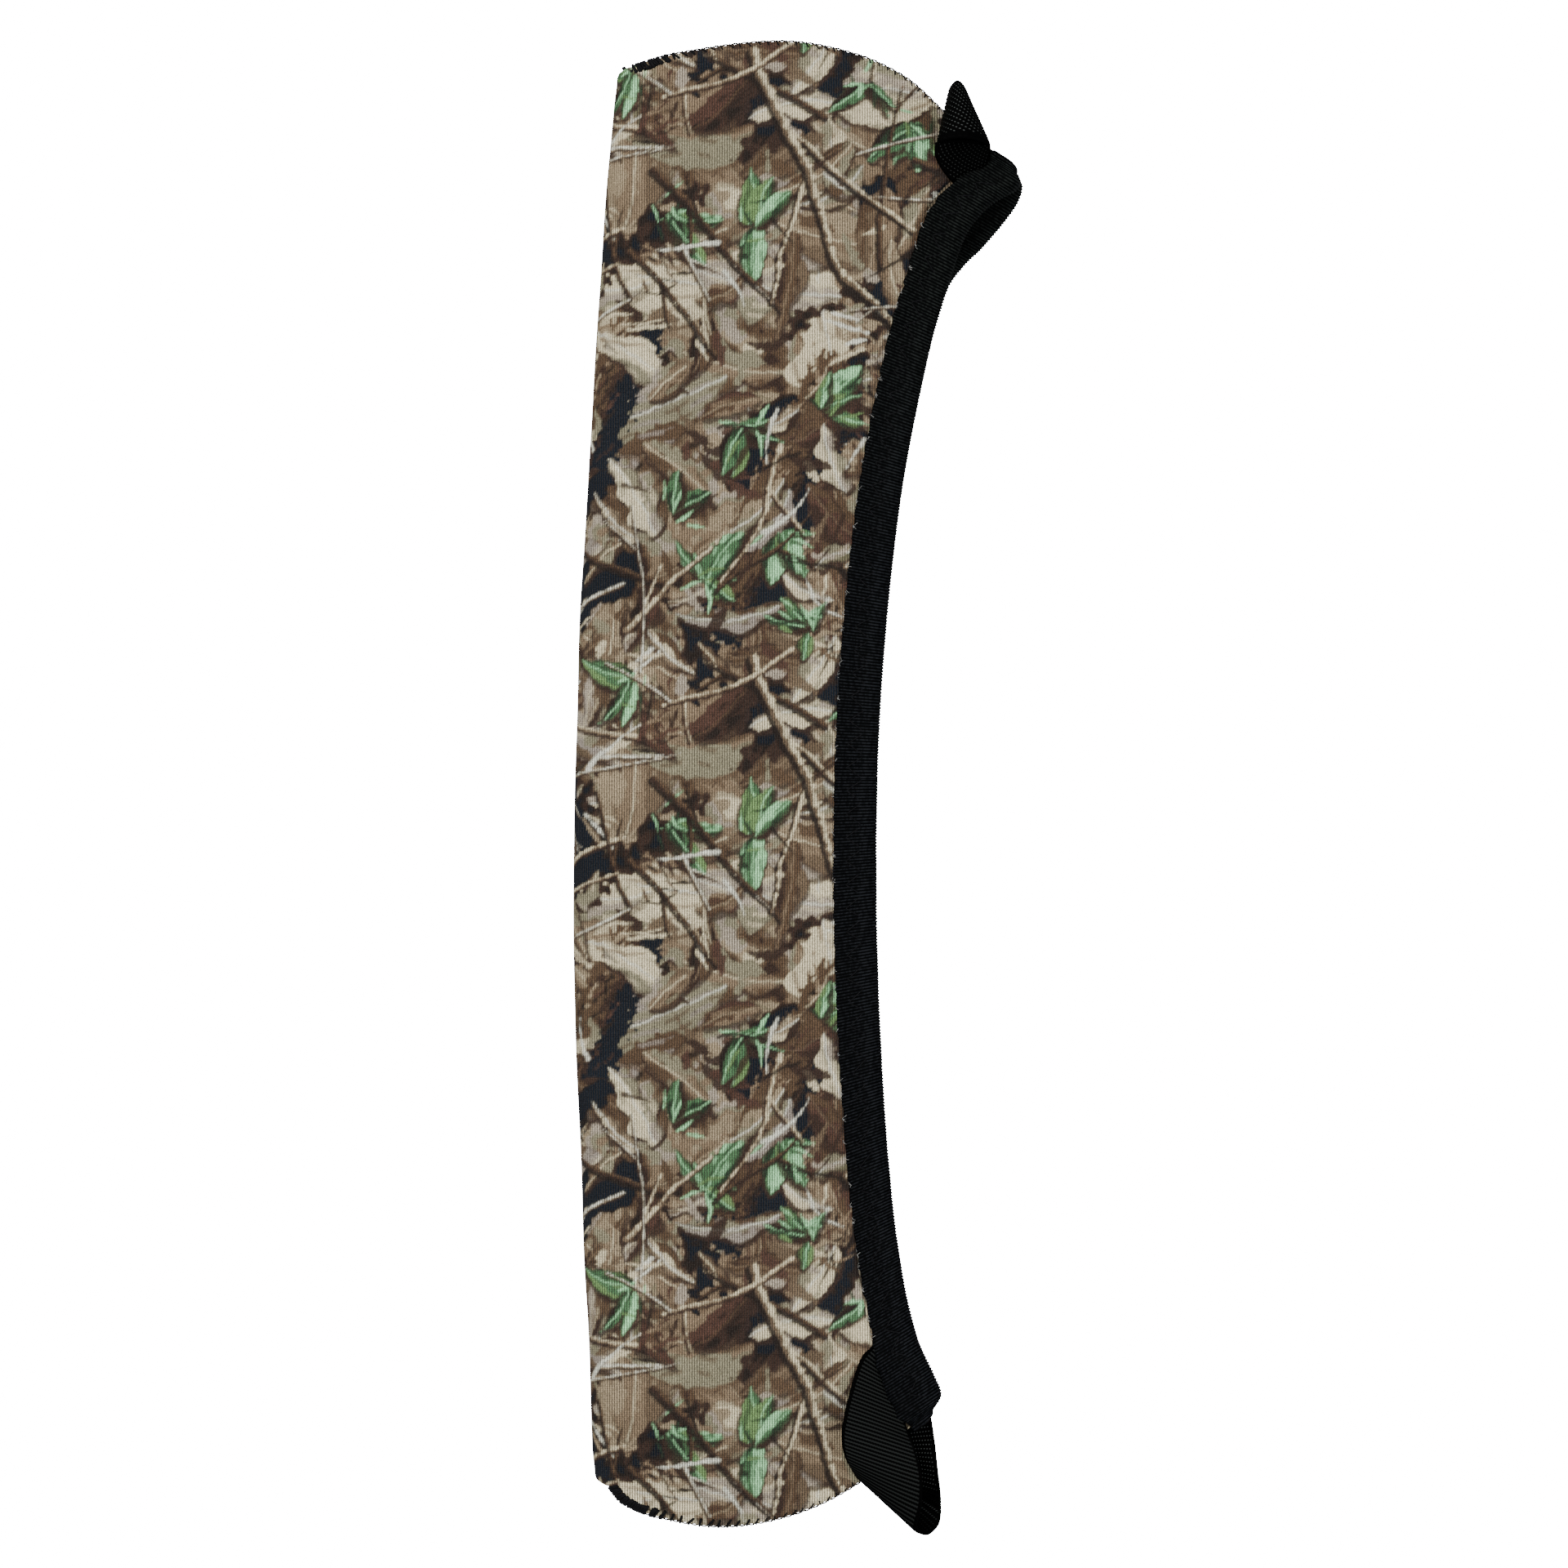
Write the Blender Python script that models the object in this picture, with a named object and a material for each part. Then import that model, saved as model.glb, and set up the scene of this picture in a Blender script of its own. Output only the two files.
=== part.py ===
"""Slip-on neoprene cover for a rifle or spotting scope, lying flat on its back layer.

One laminate (printed face fabric, foam core, black lining) is folded along its left edge. Both ends
are sewn shut along convex arcs, and the concave right edge is an open mouth bound with fold-over
elastic. A webbing pull loop sits at each end of the mouth.

Frame: X across the cover towards the mouth, Y along it, Z up off the table, origin on the table
under the middle of the cover. Lengths below are millimetres and become metres in make_object().
"""
import math

import bmesh
import bpy
from mathutils import Vector

MM = 0.001

# Plan outline of the flat cover
FOLD_LINE = [(-42.2, 167.4), (-46.1, 111.0), (-50.2, 43.0), (-52.0, -37.0), (-49.6, -100.0), (-47.4, -162.0)]
UPPER_END = [(-38.55, 167.4), (-27.3, 170.6), (-4.1, 173.3), (12.6, 170.6), (24.9, 165.0), (33.9, 156.9),
             (45.2, 145.7), (48.7, 144.6), (51.0, 142.7)]
LOWER_END = [(-43.75, -162.0), (-40.5, -165.8), (-32.0, -169.2), (-16.4, -171.3), (0.7, -168.0),
             (15.5, -160.2), (21.5, -153.0), (25.8, -147.8), (31.4, -144.3)]
MOUTH_WAIST = [(34.8, 115.5), (30.3, 99.8), (23.8, 65.6), (19.4, 20.0), (18.4, -25.0), (20.1, -71.0),
               (23.3, -105.5), (27.7, -127.0), (31.9, -136.4), (33.4, -140.6), (31.4, -144.3)]
FRONT_MOUTH = [(51.0, 142.7), (51.8, 140.4), (50.6, 138.4), (47.8, 136.9), (43.6, 134.0),
               (38.8, 127.5)] + MOUTH_WAIST
BACK_MOUTH = [(51.0, 142.7), (52.4, 139.6), (50.6, 134.8), (43.2, 125.6), (38.9, 121.4)] + MOUTH_WAIST
PATH_STEPS = 24

# Laminate, from its outer face inwards
FACE = 0.5
PLY_GAP = 0.3
LINING = 0.5
LAMINATE = 3.5

# Hollow between the two layers
GAP_SEWN = 0.3
GAP_SEWN_AT_MOUTH = 3.2
GAP_FOLD = 5.6
GAP_MOUTH = 6.6
GAP_RISE = 28.0
GAP_WIDENS_FROM = 0.55
GAP_WIDENS_OVER = 0.35
SEAM_PRESS = 0.9
SEAM_PRESS_FLAT = 3.0
SEAM_PRESS_FADE = 6.0

# Binding: fold-over elastic round the mouth edge
BINDING = 0.7
BINDING_GAP = 0.3
BINDING_WIDTH = 10.2
BINDING_WIDTH_UPPER = 8.4
BINDING_WIDTH_LOWER = 11.6
BINDING_INSIDE = 9.0
BINDING_WIDENS_OVER = 10.0
BINDING_LOWER_FROM = 0.9
BINDING_LOWER_OVER = 0.08
BINDING_PRESS = BINDING + BINDING_GAP
BINDING_TURN = (LAMINATE + BINDING_PRESS) / 2.0
BINDING_RAMP = 3.0
EDGE_INSET = BINDING_TURN
BINDING_START = 1.2

# Threads
THREAD = 0.22
THREAD_CLEAR = 0.3
ZIGZAG_PITCH = 5.8
ZIGZAG_IN = 3.2
ZIGZAG_OUT = 7.4
ZIGZAG_START = 9.2
ZIGZAG_END = 2.2
ZIGZAG_CLEAR = 0.5
OVERLOCK_PITCH = 5.0
OVERLOCK_BITE = 2.5
OVERLOCK_FROM = 0.03
OVERLOCK_TO = 0.69
OVERLOCK_SAMPLES = 40
OVERLOCK_CLEAR = 0.45
OVERLOCK_OUT = THREAD + OVERLOCK_CLEAR
THREAD_SMOOTH = 80.0
THREAD_SIDES = 4

# Webbing of the pull loops
WEBBING = 1.3
WEBBING_STEPS = 4
WEBBING_SMOOTH = 50.0

# The rows of the mesh run across the cover; row distances are counted from each sewn end
COVER_LENGTH = 325.0
END_ROWS = (0.0, 3.0, 6.0, 11.0, 18.0, 28.0)
UPPER_CUT = 32.0
LOWER_CUT = 26.0
CUT_GAP = 1.8
MIDDLE_ROWS = 14
FLAT_COLUMNS = 4
FOLD_STEPS = 6
TURN_STEPS = 4
TURN_SMOOTH = 60.0
ROW_CLEAR = 1.5
NUDGE = 0.01

# Colours: linear base colour, roughness
MATERIALS = {
    "camo_face": ((0.17, 0.14, 0.095), 0.9),
    "foam": ((0.30, 0.30, 0.31), 0.95),
    "lining": ((0.012, 0.012, 0.013), 0.95),
    "elastic": ((0.008, 0.008, 0.010), 0.8),
    "webbing": ((0.008, 0.009, 0.009), 0.75),
    "thread": ((0.006, 0.006, 0.007), 0.6),
}


def clear_scene():
    for item in list(bpy.data.objects):
        bpy.data.objects.remove(item, do_unlink=True)


def material(name):
    found = bpy.data.materials.get(name)
    if found:
        return found
    colour, roughness = MATERIALS[name]
    made = bpy.data.materials.new(name)
    made.use_nodes = True
    shader = made.node_tree.nodes["Principled BSDF"]
    shader.inputs["Base Color"].default_value = (*colour, 1.0)
    shader.inputs["Roughness"].default_value = roughness
    shader.inputs["Metallic"].default_value = 0.0
    return made


def ease(value):
    value = min(1.0, max(0.0, value))
    return value * value * (3.0 - 2.0 * value)


def mix(a, b, amount):
    return a + (b - a) * amount


def smooth_path(points):
    """A function of 0..1 that runs at even speed along a smooth curve through the points."""
    points = [Vector((*point, 0.0)[:3]) for point in points]
    chords = [(b - a).length for a, b in zip(points, points[1:])]
    slopes = []
    for index in range(len(points)):
        before = max(index - 1, 0)
        after = min(index + 1, len(points) - 1)
        slopes.append((points[after] - points[before]) / sum(chords[before:after]))
    fine = []
    for index, chord in enumerate(chords):
        start, end = points[index], points[index + 1]
        for step in range(PATH_STEPS):
            u = step / PATH_STEPS
            fine.append(start * (2 * u**3 - 3 * u**2 + 1) + slopes[index] * chord * (u**3 - 2 * u**2 + u)
                        + end * (3 * u**2 - 2 * u**3) + slopes[index + 1] * chord * (u**3 - u**2))
    fine.append(points[-1])
    reach = [0.0]
    for a, b in zip(fine, fine[1:]):
        reach.append(reach[-1] + (b - a).length)

    def at(fraction):
        wanted = min(1.0, max(0.0, fraction)) * reach[-1]
        index = 1
        while index < len(reach) - 1 and reach[index] < wanted:
            index += 1
        span = reach[index] - reach[index - 1]
        return fine[index - 1].lerp(fine[index], (wanted - reach[index - 1]) / span)

    return at


fold_line = smooth_path(FOLD_LINE)
upper_end = smooth_path(UPPER_END)
lower_end = smooth_path(LOWER_END)
mouths = {"front": smooth_path(FRONT_MOUTH), "back": smooth_path(BACK_MOUTH)}


def end_distance(s):
    return COVER_LENGTH * min(s, 1.0 - s)


def gap(s, t):
    """Height of the hollow between the linings, s along the cover and t from the fold to the mouth."""
    sewn = mix(GAP_SEWN, GAP_SEWN_AT_MOUTH, ease((t - GAP_WIDENS_FROM) / GAP_WIDENS_OVER))
    free = mix(GAP_FOLD, GAP_MOUTH, t)
    return mix(sewn, free, ease(end_distance(s) / GAP_RISE))


def height(s, t):
    return 2.0 * LAMINATE + gap(s, t)


def seam_press(s):
    """How far the stitching pulls the outer face in near a sewn end."""
    return SEAM_PRESS * (1.0 - ease((end_distance(s) - SEAM_PRESS_FLAT) / SEAM_PRESS_FADE))


def fold_point(s):
    """Where the flat back layer begins, beside the turned fold."""
    point = fold_line(s)
    return Vector((point.x + height(s, 0.0) / 2.0, point.y, 0.0))


def plan(side, s, t):
    """The plan position of a point of one layer: a patch between the fold, the mouth and both ends."""
    mouth = mouths[side]
    straight = fold_point(s).lerp(mouth(s), t)
    upper = upper_end(t) - fold_point(0.0).lerp(mouth(0.0), t)
    lower = lower_end(t) - fold_point(1.0).lerp(mouth(1.0), t)
    return straight + upper * (1.0 - s) ** 3 + lower * s ** 3


def binding_width(s):
    width = mix(BINDING_WIDTH_UPPER, BINDING_WIDTH, ease(s * COVER_LENGTH / BINDING_WIDENS_OVER))
    return mix(width, BINDING_WIDTH_LOWER, ease((s - BINDING_LOWER_FROM) / BINDING_LOWER_OVER))


def columns(side, s):
    """(t, press) pairs of one row: how far across, and how far the binding presses the face in."""
    row = (plan(side, s, 1.0) - plan(side, s, 0.0)).length
    flat = 1.0 - (binding_width(s) + BINDING_RAMP) / row
    found = [(flat * index / FLAT_COLUMNS, 0.0) for index in range(FLAT_COLUMNS + 1)]
    found.append((1.0 - binding_width(s) / row, BINDING_PRESS))
    found.append((1.0 - EDGE_INSET / row, BINDING_PRESS))
    return found


def row_positions(first, last):
    """Row fractions along the cover between two distances from its upper end."""
    rows = set()
    for row in END_ROWS:
        rows.add(row)
        rows.add(COVER_LENGTH - row)
    inner = COVER_LENGTH - 2.0 * END_ROWS[-1]
    for index in range(1, MIDDLE_ROWS):
        rows.add(END_ROWS[-1] + inner * index / MIDDLE_ROWS)
    kept = [row for row in rows if first + ROW_CLEAR < row < last - ROW_CLEAR]
    return [row / COVER_LENGTH for row in sorted(kept + [first, last])]


def make_object(name, points, faces, look, smooth_angle=None):
    mesh = bpy.data.meshes.new(name)
    mesh.from_pydata([Vector(point) * MM for point in points], [], faces)
    outward = bmesh.new()
    outward.from_mesh(mesh)
    bmesh.ops.recalc_face_normals(outward, faces=outward.faces)
    outward.to_mesh(mesh)
    outward.free()
    mesh.materials.append(material(look))
    if smooth_angle:
        mesh.shade_smooth()
        mesh.set_sharp_from_angle(angle=math.radians(smooth_angle))
    made = bpy.data.objects.new(name, mesh)
    bpy.context.collection.objects.link(made)
    return made


def slab(name, under, over, look, smooth_angle=None):
    """A closed sheet between two grids of points with the same rows and columns."""
    rows = len(under)
    across = len(under[0])
    points = [point for grid in (under, over) for row in grid for point in row]

    def corner(layer, row, column):
        return (layer * rows + row) * across + column

    faces = []
    for row in range(rows - 1):
        for column in range(across - 1):
            for layer in (0, 1):
                faces.append([corner(layer, row, column), corner(layer, row, column + 1),
                              corner(layer, row + 1, column + 1), corner(layer, row + 1, column)])
        for column in (0, across - 1):
            faces.append([corner(0, row, column), corner(1, row, column),
                          corner(1, row + 1, column), corner(0, row + 1, column)])
    for column in range(across - 1):
        for row in (0, rows - 1):
            faces.append([corner(0, row, column), corner(1, row, column),
                          corner(1, row, column + 1), corner(0, row, column + 1)])
    return make_object(name, points, faces, look, smooth_angle)


def ply_depths(press):
    """Distances of each ply's two faces from the outer face of the cover."""
    return {
        "face_fabric": (press, press + FACE),
        "foam_core": (press + FACE + PLY_GAP, LAMINATE - LINING - PLY_GAP),
        "lining": (LAMINATE - LINING, LAMINATE),
    }


PLY_LOOKS = {"face_fabric": "camo_face", "foam_core": "foam", "lining": "lining"}


def layer_ply(name, side, ply, first, last):
    """One ply of the front or the back layer, between two distances from the upper end."""
    under = []
    over = []
    for s in row_positions(first, last):
        low_row = []
        high_row = []
        for t, binding_press in columns(side, s):
            outer, inner = ply_depths(max(binding_press, seam_press(s)))[ply]
            place = plan(side, s, t)
            if side == "back":
                low, high = outer, inner
            else:
                low, high = height(s, t) - inner, height(s, t) - outer
            low_row.append((place.x, place.y, low))
            high_row.append((place.x, place.y, high))
        under.append(low_row)
        over.append(high_row)
    return slab(name, under, over, PLY_LOOKS[ply])


def fold_ply(name, ply):
    """One ply where the laminate turns round the fold, as half a ring from bottom to top."""
    grids = {0: [], 1: []}
    for s in row_positions(0.0, COVER_LENGTH):
        centre = fold_point(s)
        middle = height(s, 0.0) / 2.0
        depths = ply_depths(seam_press(s))[ply]
        for which, depth in enumerate(depths):
            radius = middle - depth
            row = []
            for step in range(FOLD_STEPS + 1):
                angle = math.pi * step / FOLD_STEPS
                row.append((centre.x - PLY_GAP - radius * math.sin(angle), centre.y,
                            middle - radius * math.cos(angle)))
            grids[which].append(row)
    return slab(name, grids[1], grids[0], PLY_LOOKS[ply], TURN_SMOOTH)


def mouth_frame(side, s):
    """The mouth edge, the direction from it across the layer, and how far that row reaches."""
    mouth = plan(side, s, 1.0)
    inward = (plan(side, s, 0.9) - mouth).normalized()
    return mouth, inward, (plan(side, s, 0.0) - mouth).length


def binding(name, side, first, last):
    """Fold-over elastic: an outer strip, a turn round the mouth edge and an inner strip."""
    turn = BINDING_TURN
    grids = {0: [], 1: []}
    for s in row_positions(first, last):
        mouth, inward, row_length = mouth_frame(side, s)
        for which, depth in enumerate((0.0, BINDING)):
            stations = [(binding_width(s), depth), (turn, depth)]
            for step in range(1, TURN_STEPS):
                angle = math.pi * step / TURN_STEPS
                stations.append((turn - (turn - depth) * math.sin(angle),
                                 turn - (turn - depth) * math.cos(angle)))
            stations.append((turn, 2.0 * turn - depth))
            stations.append((BINDING_INSIDE, 2.0 * turn - depth))
            row = []
            for inset, level in stations:
                place = mouth + inward * inset
                if side == "front":
                    level = height(s, 1.0 - inset / row_length) - level
                row.append((place.x, place.y, level))
            grids[which].append(row)
    return slab(name, grids[0], grids[1], "elastic", TURN_SMOOTH)


def thread(name, points):
    """One thread as a four-sided closed tube through the points."""
    points = [Vector(point) for point in points]
    rings = []
    up = Vector((0.0, 0.0, 1.0))
    for index, point in enumerate(points):
        ahead = points[min(index + 1, len(points) - 1)] - points[max(index - 1, 0)]
        ahead.normalize()
        across = up - ahead * up.dot(ahead)
        if across.length < 0.2:
            across = Vector((1.0, 0.0, 0.0)) - ahead * ahead.x
        across.normalize()
        up = across
        side = ahead.cross(across)
        for step in range(THREAD_SIDES):
            angle = 2.0 * math.pi * step / THREAD_SIDES
            rings.append(point + (across * math.cos(angle) + side * math.sin(angle)) * THREAD)
    faces = [[3, 2, 1, 0]]
    for index in range(len(points) - 1):
        for step in range(THREAD_SIDES):
            after = (step + 1) % THREAD_SIDES
            here = index * THREAD_SIDES
            there = here + THREAD_SIDES
            faces.append([here + step, here + after, there + after, there + step])
    last = (len(points) - 1) * THREAD_SIDES
    faces.append([last, last + 1, last + 2, last + 3])
    return make_object(name, rings, faces, "thread", THREAD_SMOOTH)


def binding_stitching(name, first, last):
    """Zigzag over the front binding, lying just above it."""
    pitches = max(2, round((last - first) / ZIGZAG_PITCH))
    points = []
    for index in range(2 * pitches + 1):
        s = mix(first, last, index / (2.0 * pitches)) / COVER_LENGTH
        mouth, inward, row_length = mouth_frame("front", s)
        inset = ZIGZAG_OUT if index % 2 else ZIGZAG_IN
        place = mouth + inward * inset
        at_turn = height(s, 1.0 - BINDING_TURN / row_length)
        at_edge = height(s, 1.0 - binding_width(s) / row_length)
        level = mix(at_turn, at_edge, (inset - BINDING_TURN) / (binding_width(s) - BINDING_TURN))
        points.append((place.x, place.y, level + THREAD_CLEAR + THREAD))
    return thread(name, points)


def seam_edge(s, t, inset):
    """A plan point at an inset from a sewn end's edge."""
    place = plan("front", s, t)
    along = plan("front", s, t + NUDGE) - plan("front", s, t - NUDGE)
    inward = Vector((-along.y, along.x, 0.0)).normalized()
    if inward.dot(plan("front", 0.5, 0.5) - place) < 0.0:
        inward.negate()
    return place + inward * inset


def seam_length(s):
    reach = 0.0
    for step in range(OVERLOCK_SAMPLES):
        a = plan("front", s, mix(OVERLOCK_FROM, OVERLOCK_TO, step / OVERLOCK_SAMPLES))
        b = plan("front", s, mix(OVERLOCK_FROM, OVERLOCK_TO, (step + 1) / OVERLOCK_SAMPLES))
        reach += (b - a).length
    return reach


# One winding of the overlock: (share of the pitch, inset from the edge, on the front or on the back)
OVERLOCK_WINDING = [
    (0.00, OVERLOCK_BITE, "front"), (0.12, OVERLOCK_BITE, "front"),
    (0.30, -OVERLOCK_OUT, "front"), (0.32, -OVERLOCK_OUT, "back"),
    (0.48, OVERLOCK_BITE, "back"), (0.60, OVERLOCK_BITE, "back"),
    (0.76, -OVERLOCK_OUT, "back"), (0.78, -OVERLOCK_OUT, "front"),
]


def end_seam(name, s):
    """Overlock thread wrapped over the pressed edge of a sewn end, as one winding."""
    turns = round(seam_length(s) / OVERLOCK_PITCH)
    points = []
    for turn in range(turns):
        for part, inset, face in OVERLOCK_WINDING:
            t = mix(OVERLOCK_FROM, OVERLOCK_TO, (turn + part) / turns)
            place = seam_edge(s, t, inset)
            level = SEAM_PRESS - OVERLOCK_CLEAR - THREAD
            if face == "front":
                level = height(s, t) - level
            points.append((place.x, place.y, level))
    return thread(name, points)


def ribbon(name, stations):
    """Webbing through pairs of edge points, as a closed strip with square edges."""
    left = smooth_path([station[0] for station in stations])
    right = smooth_path([station[1] for station in stations])
    count = WEBBING_STEPS * (len(stations) - 1)
    under = []
    over = []
    for index in range(count + 1):
        u = index / count
        a = left(u)
        b = right(u)
        before = max(0.0, u - NUDGE)
        after = min(1.0, u + NUDGE)
        ahead = left(after) + right(after) - left(before) - right(before)
        normal = (b - a).cross(ahead).normalized() * WEBBING / 2.0
        under.append([a - normal, b - normal])
        over.append([a + normal, b + normal])
    return slab(name, under, over, "webbing", WEBBING_SMOOTH)


# Each station is the pair of edge points of the webbing there
LOWER_ROOT = [
    ((14.4, -132.5, 14.7), (24.3, -150.2, 14.7)),
    ((12.9, -138.0, 15.0), (25.4, -152.0, 14.8)),
    ((11.6, -143.6, 15.2), (26.6, -153.6, 14.5)),
]
LOWER_LOOP = [
    ((11.1, -145.2, 15.2), (27.5, -155.0, 14.2)),
    ((10.9, -152.0, 14.6), (28.6, -160.0, 12.4)),
    ((13.0, -158.5, 11.8), (29.6, -167.5, 9.2)),
    ((16.8, -163.6, 7.0), (31.0, -173.4, 5.0)),
    ((19.6, -164.4, 2.4), (33.3, -170.5, 1.9)),
    ((22.6, -160.5, 1.5), (34.3, -162.0, 5.6)),
    ((25.6, -156.6, 1.4), (34.6, -150.6, 10.6)),
]
UPPER_ROOT = [
    ((35.0, 142.4, 12.2), (43.3, 149.2, 12.2)),
    ((33.0, 145.6, 12.1), (42.2, 150.6, 12.0)),
    ((32.7, 149.0, 11.7), (40.6, 151.6, 11.6)),
]

# The upper loop is a ring of webbing that narrows from its lower edge to its upper edge
UPPER_RING_LOW = {
    "centre": (38.7, 150.0, 18.2),
    "half_across": (6.2, -0.9, 0.0),
    "half_deep": (0.0, 0.4, 3.0),
}
UPPER_RING_HIGH = {
    "centre": (37.1, 163.2, 9.4),
    "half_across": (2.0, 0.0, 0.0),
    "half_deep": (0.0, 0.4, 5.6),
}
RING_STEPS = 24


def ring_point(edge, angle, inset):
    across = Vector(edge["half_across"])
    deep = Vector(edge["half_deep"])
    across = across * (1.0 - inset / across.length)
    deep = deep * (1.0 - inset / deep.length)
    return Vector(edge["centre"]) + across * math.cos(angle) + deep * math.sin(angle)


def upper_ring(name):
    """A closed ring of webbing, its wall one webbing thick."""
    points = []
    for step in range(RING_STEPS):
        angle = 2.0 * math.pi * step / RING_STEPS
        for edge in (UPPER_RING_LOW, UPPER_RING_HIGH):
            for inset in (0.0, WEBBING):
                points.append(ring_point(edge, angle, inset))
    faces = []
    for step in range(RING_STEPS):
        here = step * 4
        there = (step + 1) % RING_STEPS * 4
        for a, b in ((0, 1), (1, 3), (3, 2), (2, 0)):
            faces.append([here + a, here + b, there + b, there + a])
    return make_object(name, points, faces, "webbing", WEBBING_SMOOTH)


def set_origin(piece, point):
    """Move an object's origin to a point of its hinge axis without moving its shape."""
    offset = Vector(point) * MM
    for vertex in piece.data.vertices:
        vertex.co -= offset
    piece.location = offset


FLAP_HINGE = (-45.7, 0.0, 6.3)
LOWER_LOOP_HINGE = (19.2, -149.4, 14.8)
UPPER_LOOP_HINGE = (38.7, 150.0, 14.6)


def build():
    clear_scene()
    flap_from = UPPER_CUT + CUT_GAP / 2.0
    flap_to = COVER_LENGTH - LOWER_CUT - CUT_GAP / 2.0
    upper_to = UPPER_CUT - CUT_GAP / 2.0
    lower_from = COVER_LENGTH - LOWER_CUT + CUT_GAP / 2.0
    for ply in PLY_LOOKS:
        layer_ply("back_" + ply, "back", ply, 0.0, COVER_LENGTH)
        fold_ply("fold_" + ply, ply)
        layer_ply("front_upper_end_" + ply, "front", ply, 0.0, upper_to)
        layer_ply("front_lower_end_" + ply, "front", ply, lower_from, COVER_LENGTH)
        set_origin(layer_ply("front_" + ply, "front", ply, flap_from, flap_to), FLAP_HINGE)
    binding("back_binding", "back", BINDING_START, COVER_LENGTH - BINDING_START)
    binding("front_upper_end_binding", "front", BINDING_START, upper_to)
    binding("front_lower_end_binding", "front", lower_from, COVER_LENGTH - BINDING_START)
    set_origin(binding("front_binding", "front", flap_from, flap_to), FLAP_HINGE)
    binding_stitching("upper_end_stitching", ZIGZAG_START, upper_to - ZIGZAG_CLEAR)
    binding_stitching("lower_end_stitching", lower_from + ZIGZAG_CLEAR, COVER_LENGTH - ZIGZAG_END)
    stitched_from = flap_from + ZIGZAG_CLEAR
    stitched_to = flap_to - ZIGZAG_CLEAR
    set_origin(binding_stitching("front_binding_stitching", stitched_from, stitched_to), FLAP_HINGE)
    end_seam("upper_end_seam", 0.0)
    end_seam("lower_end_seam", 1.0)
    ribbon("lower_loop_root", LOWER_ROOT)
    set_origin(ribbon("lower_pull_loop", LOWER_LOOP), LOWER_LOOP_HINGE)
    ribbon("upper_loop_root", UPPER_ROOT)
    set_origin(upper_ring("upper_pull_loop"), UPPER_LOOP_HINGE)


build()
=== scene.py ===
"""Looks of the slip-on optic cover: printed knit, foam, lining, elastic binding, stitching and pull loops.

Every piece is made in the frame's millimetres and becomes metres in mesh_object(). The outline and the
height functions are the same as the CAD's, so the pieces lie where its solids do.
"""
import math

import bpy
import numpy as np
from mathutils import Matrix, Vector


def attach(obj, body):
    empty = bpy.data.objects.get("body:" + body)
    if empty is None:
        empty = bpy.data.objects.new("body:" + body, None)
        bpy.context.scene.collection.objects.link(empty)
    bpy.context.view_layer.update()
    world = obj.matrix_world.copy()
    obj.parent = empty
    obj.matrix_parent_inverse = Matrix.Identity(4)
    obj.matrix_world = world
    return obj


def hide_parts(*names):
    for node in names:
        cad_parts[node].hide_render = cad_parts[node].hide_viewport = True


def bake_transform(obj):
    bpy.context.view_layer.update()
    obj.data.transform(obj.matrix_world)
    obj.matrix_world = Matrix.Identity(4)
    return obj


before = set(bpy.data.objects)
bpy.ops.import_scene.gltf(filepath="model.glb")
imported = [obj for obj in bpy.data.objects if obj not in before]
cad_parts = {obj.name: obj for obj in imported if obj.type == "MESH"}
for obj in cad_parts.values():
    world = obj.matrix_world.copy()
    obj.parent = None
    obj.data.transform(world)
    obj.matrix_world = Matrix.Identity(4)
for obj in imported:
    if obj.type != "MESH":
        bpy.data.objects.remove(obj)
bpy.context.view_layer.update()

MM = 0.001
TAU = 2.0 * math.pi

# ---------------------------------------------------------------- outline and heights, as in the CAD
FOLD_LINE = [(-42.2, 167.4), (-46.1, 111.0), (-50.2, 43.0), (-52.0, -37.0), (-49.6, -100.0), (-47.4, -162.0)]
UPPER_END = [(-38.55, 167.4), (-27.3, 170.6), (-4.1, 173.3), (12.6, 170.6), (24.9, 165.0), (33.9, 156.9),
             (45.2, 145.7), (48.7, 144.6), (51.0, 142.7)]
LOWER_END = [(-43.75, -162.0), (-40.5, -165.8), (-32.0, -169.2), (-16.4, -171.3), (0.7, -168.0),
             (15.5, -160.2), (21.5, -153.0), (25.8, -147.8), (31.4, -144.3)]
MOUTH_WAIST = [(34.8, 115.5), (30.3, 99.8), (23.8, 65.6), (19.4, 20.0), (18.4, -25.0), (20.1, -71.0),
               (23.3, -105.5), (27.7, -127.0), (31.9, -136.4), (33.4, -140.6), (31.4, -144.3)]
FRONT_MOUTH = [(51.0, 142.7), (51.8, 140.4), (50.6, 138.4), (47.8, 136.9), (43.6, 134.0),
               (38.8, 127.5)] + MOUTH_WAIST
BACK_MOUTH = [(51.0, 142.7), (52.4, 139.6), (50.6, 134.8), (43.2, 125.6), (38.9, 121.4)] + MOUTH_WAIST
COVER_LENGTH = 325.0        # nominal, turns a share s of the length into millimetres
CLOTH_LENGTH = 345.0        # over the arcs of both ends
LAMINATE = 3.5
FACE = 0.5
LINING = 0.5
GAP_SEWN = 0.3
GAP_SEWN_AT_MOUTH = 3.2
GAP_FOLD = 5.6
GAP_MOUTH = 6.6
GAP_RISE = 28.0
SEWN_RISE_FROM = 0.55       # across a sewn end the gap opens from this share of the width
SEWN_RISE_OVER = 0.35
BINDING = 0.7
BINDING_WIDTH = 10.2
BINDING_WIDTH_UPPER = 7.6
BINDING_WIDTH_LOWER = 11.8
BINDING_WIDTH_TIP = 6.4
BINDING_INSIDE = 9.0
BINDING_TURN = 2.25
EDGE_INSET = 2.25

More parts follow.
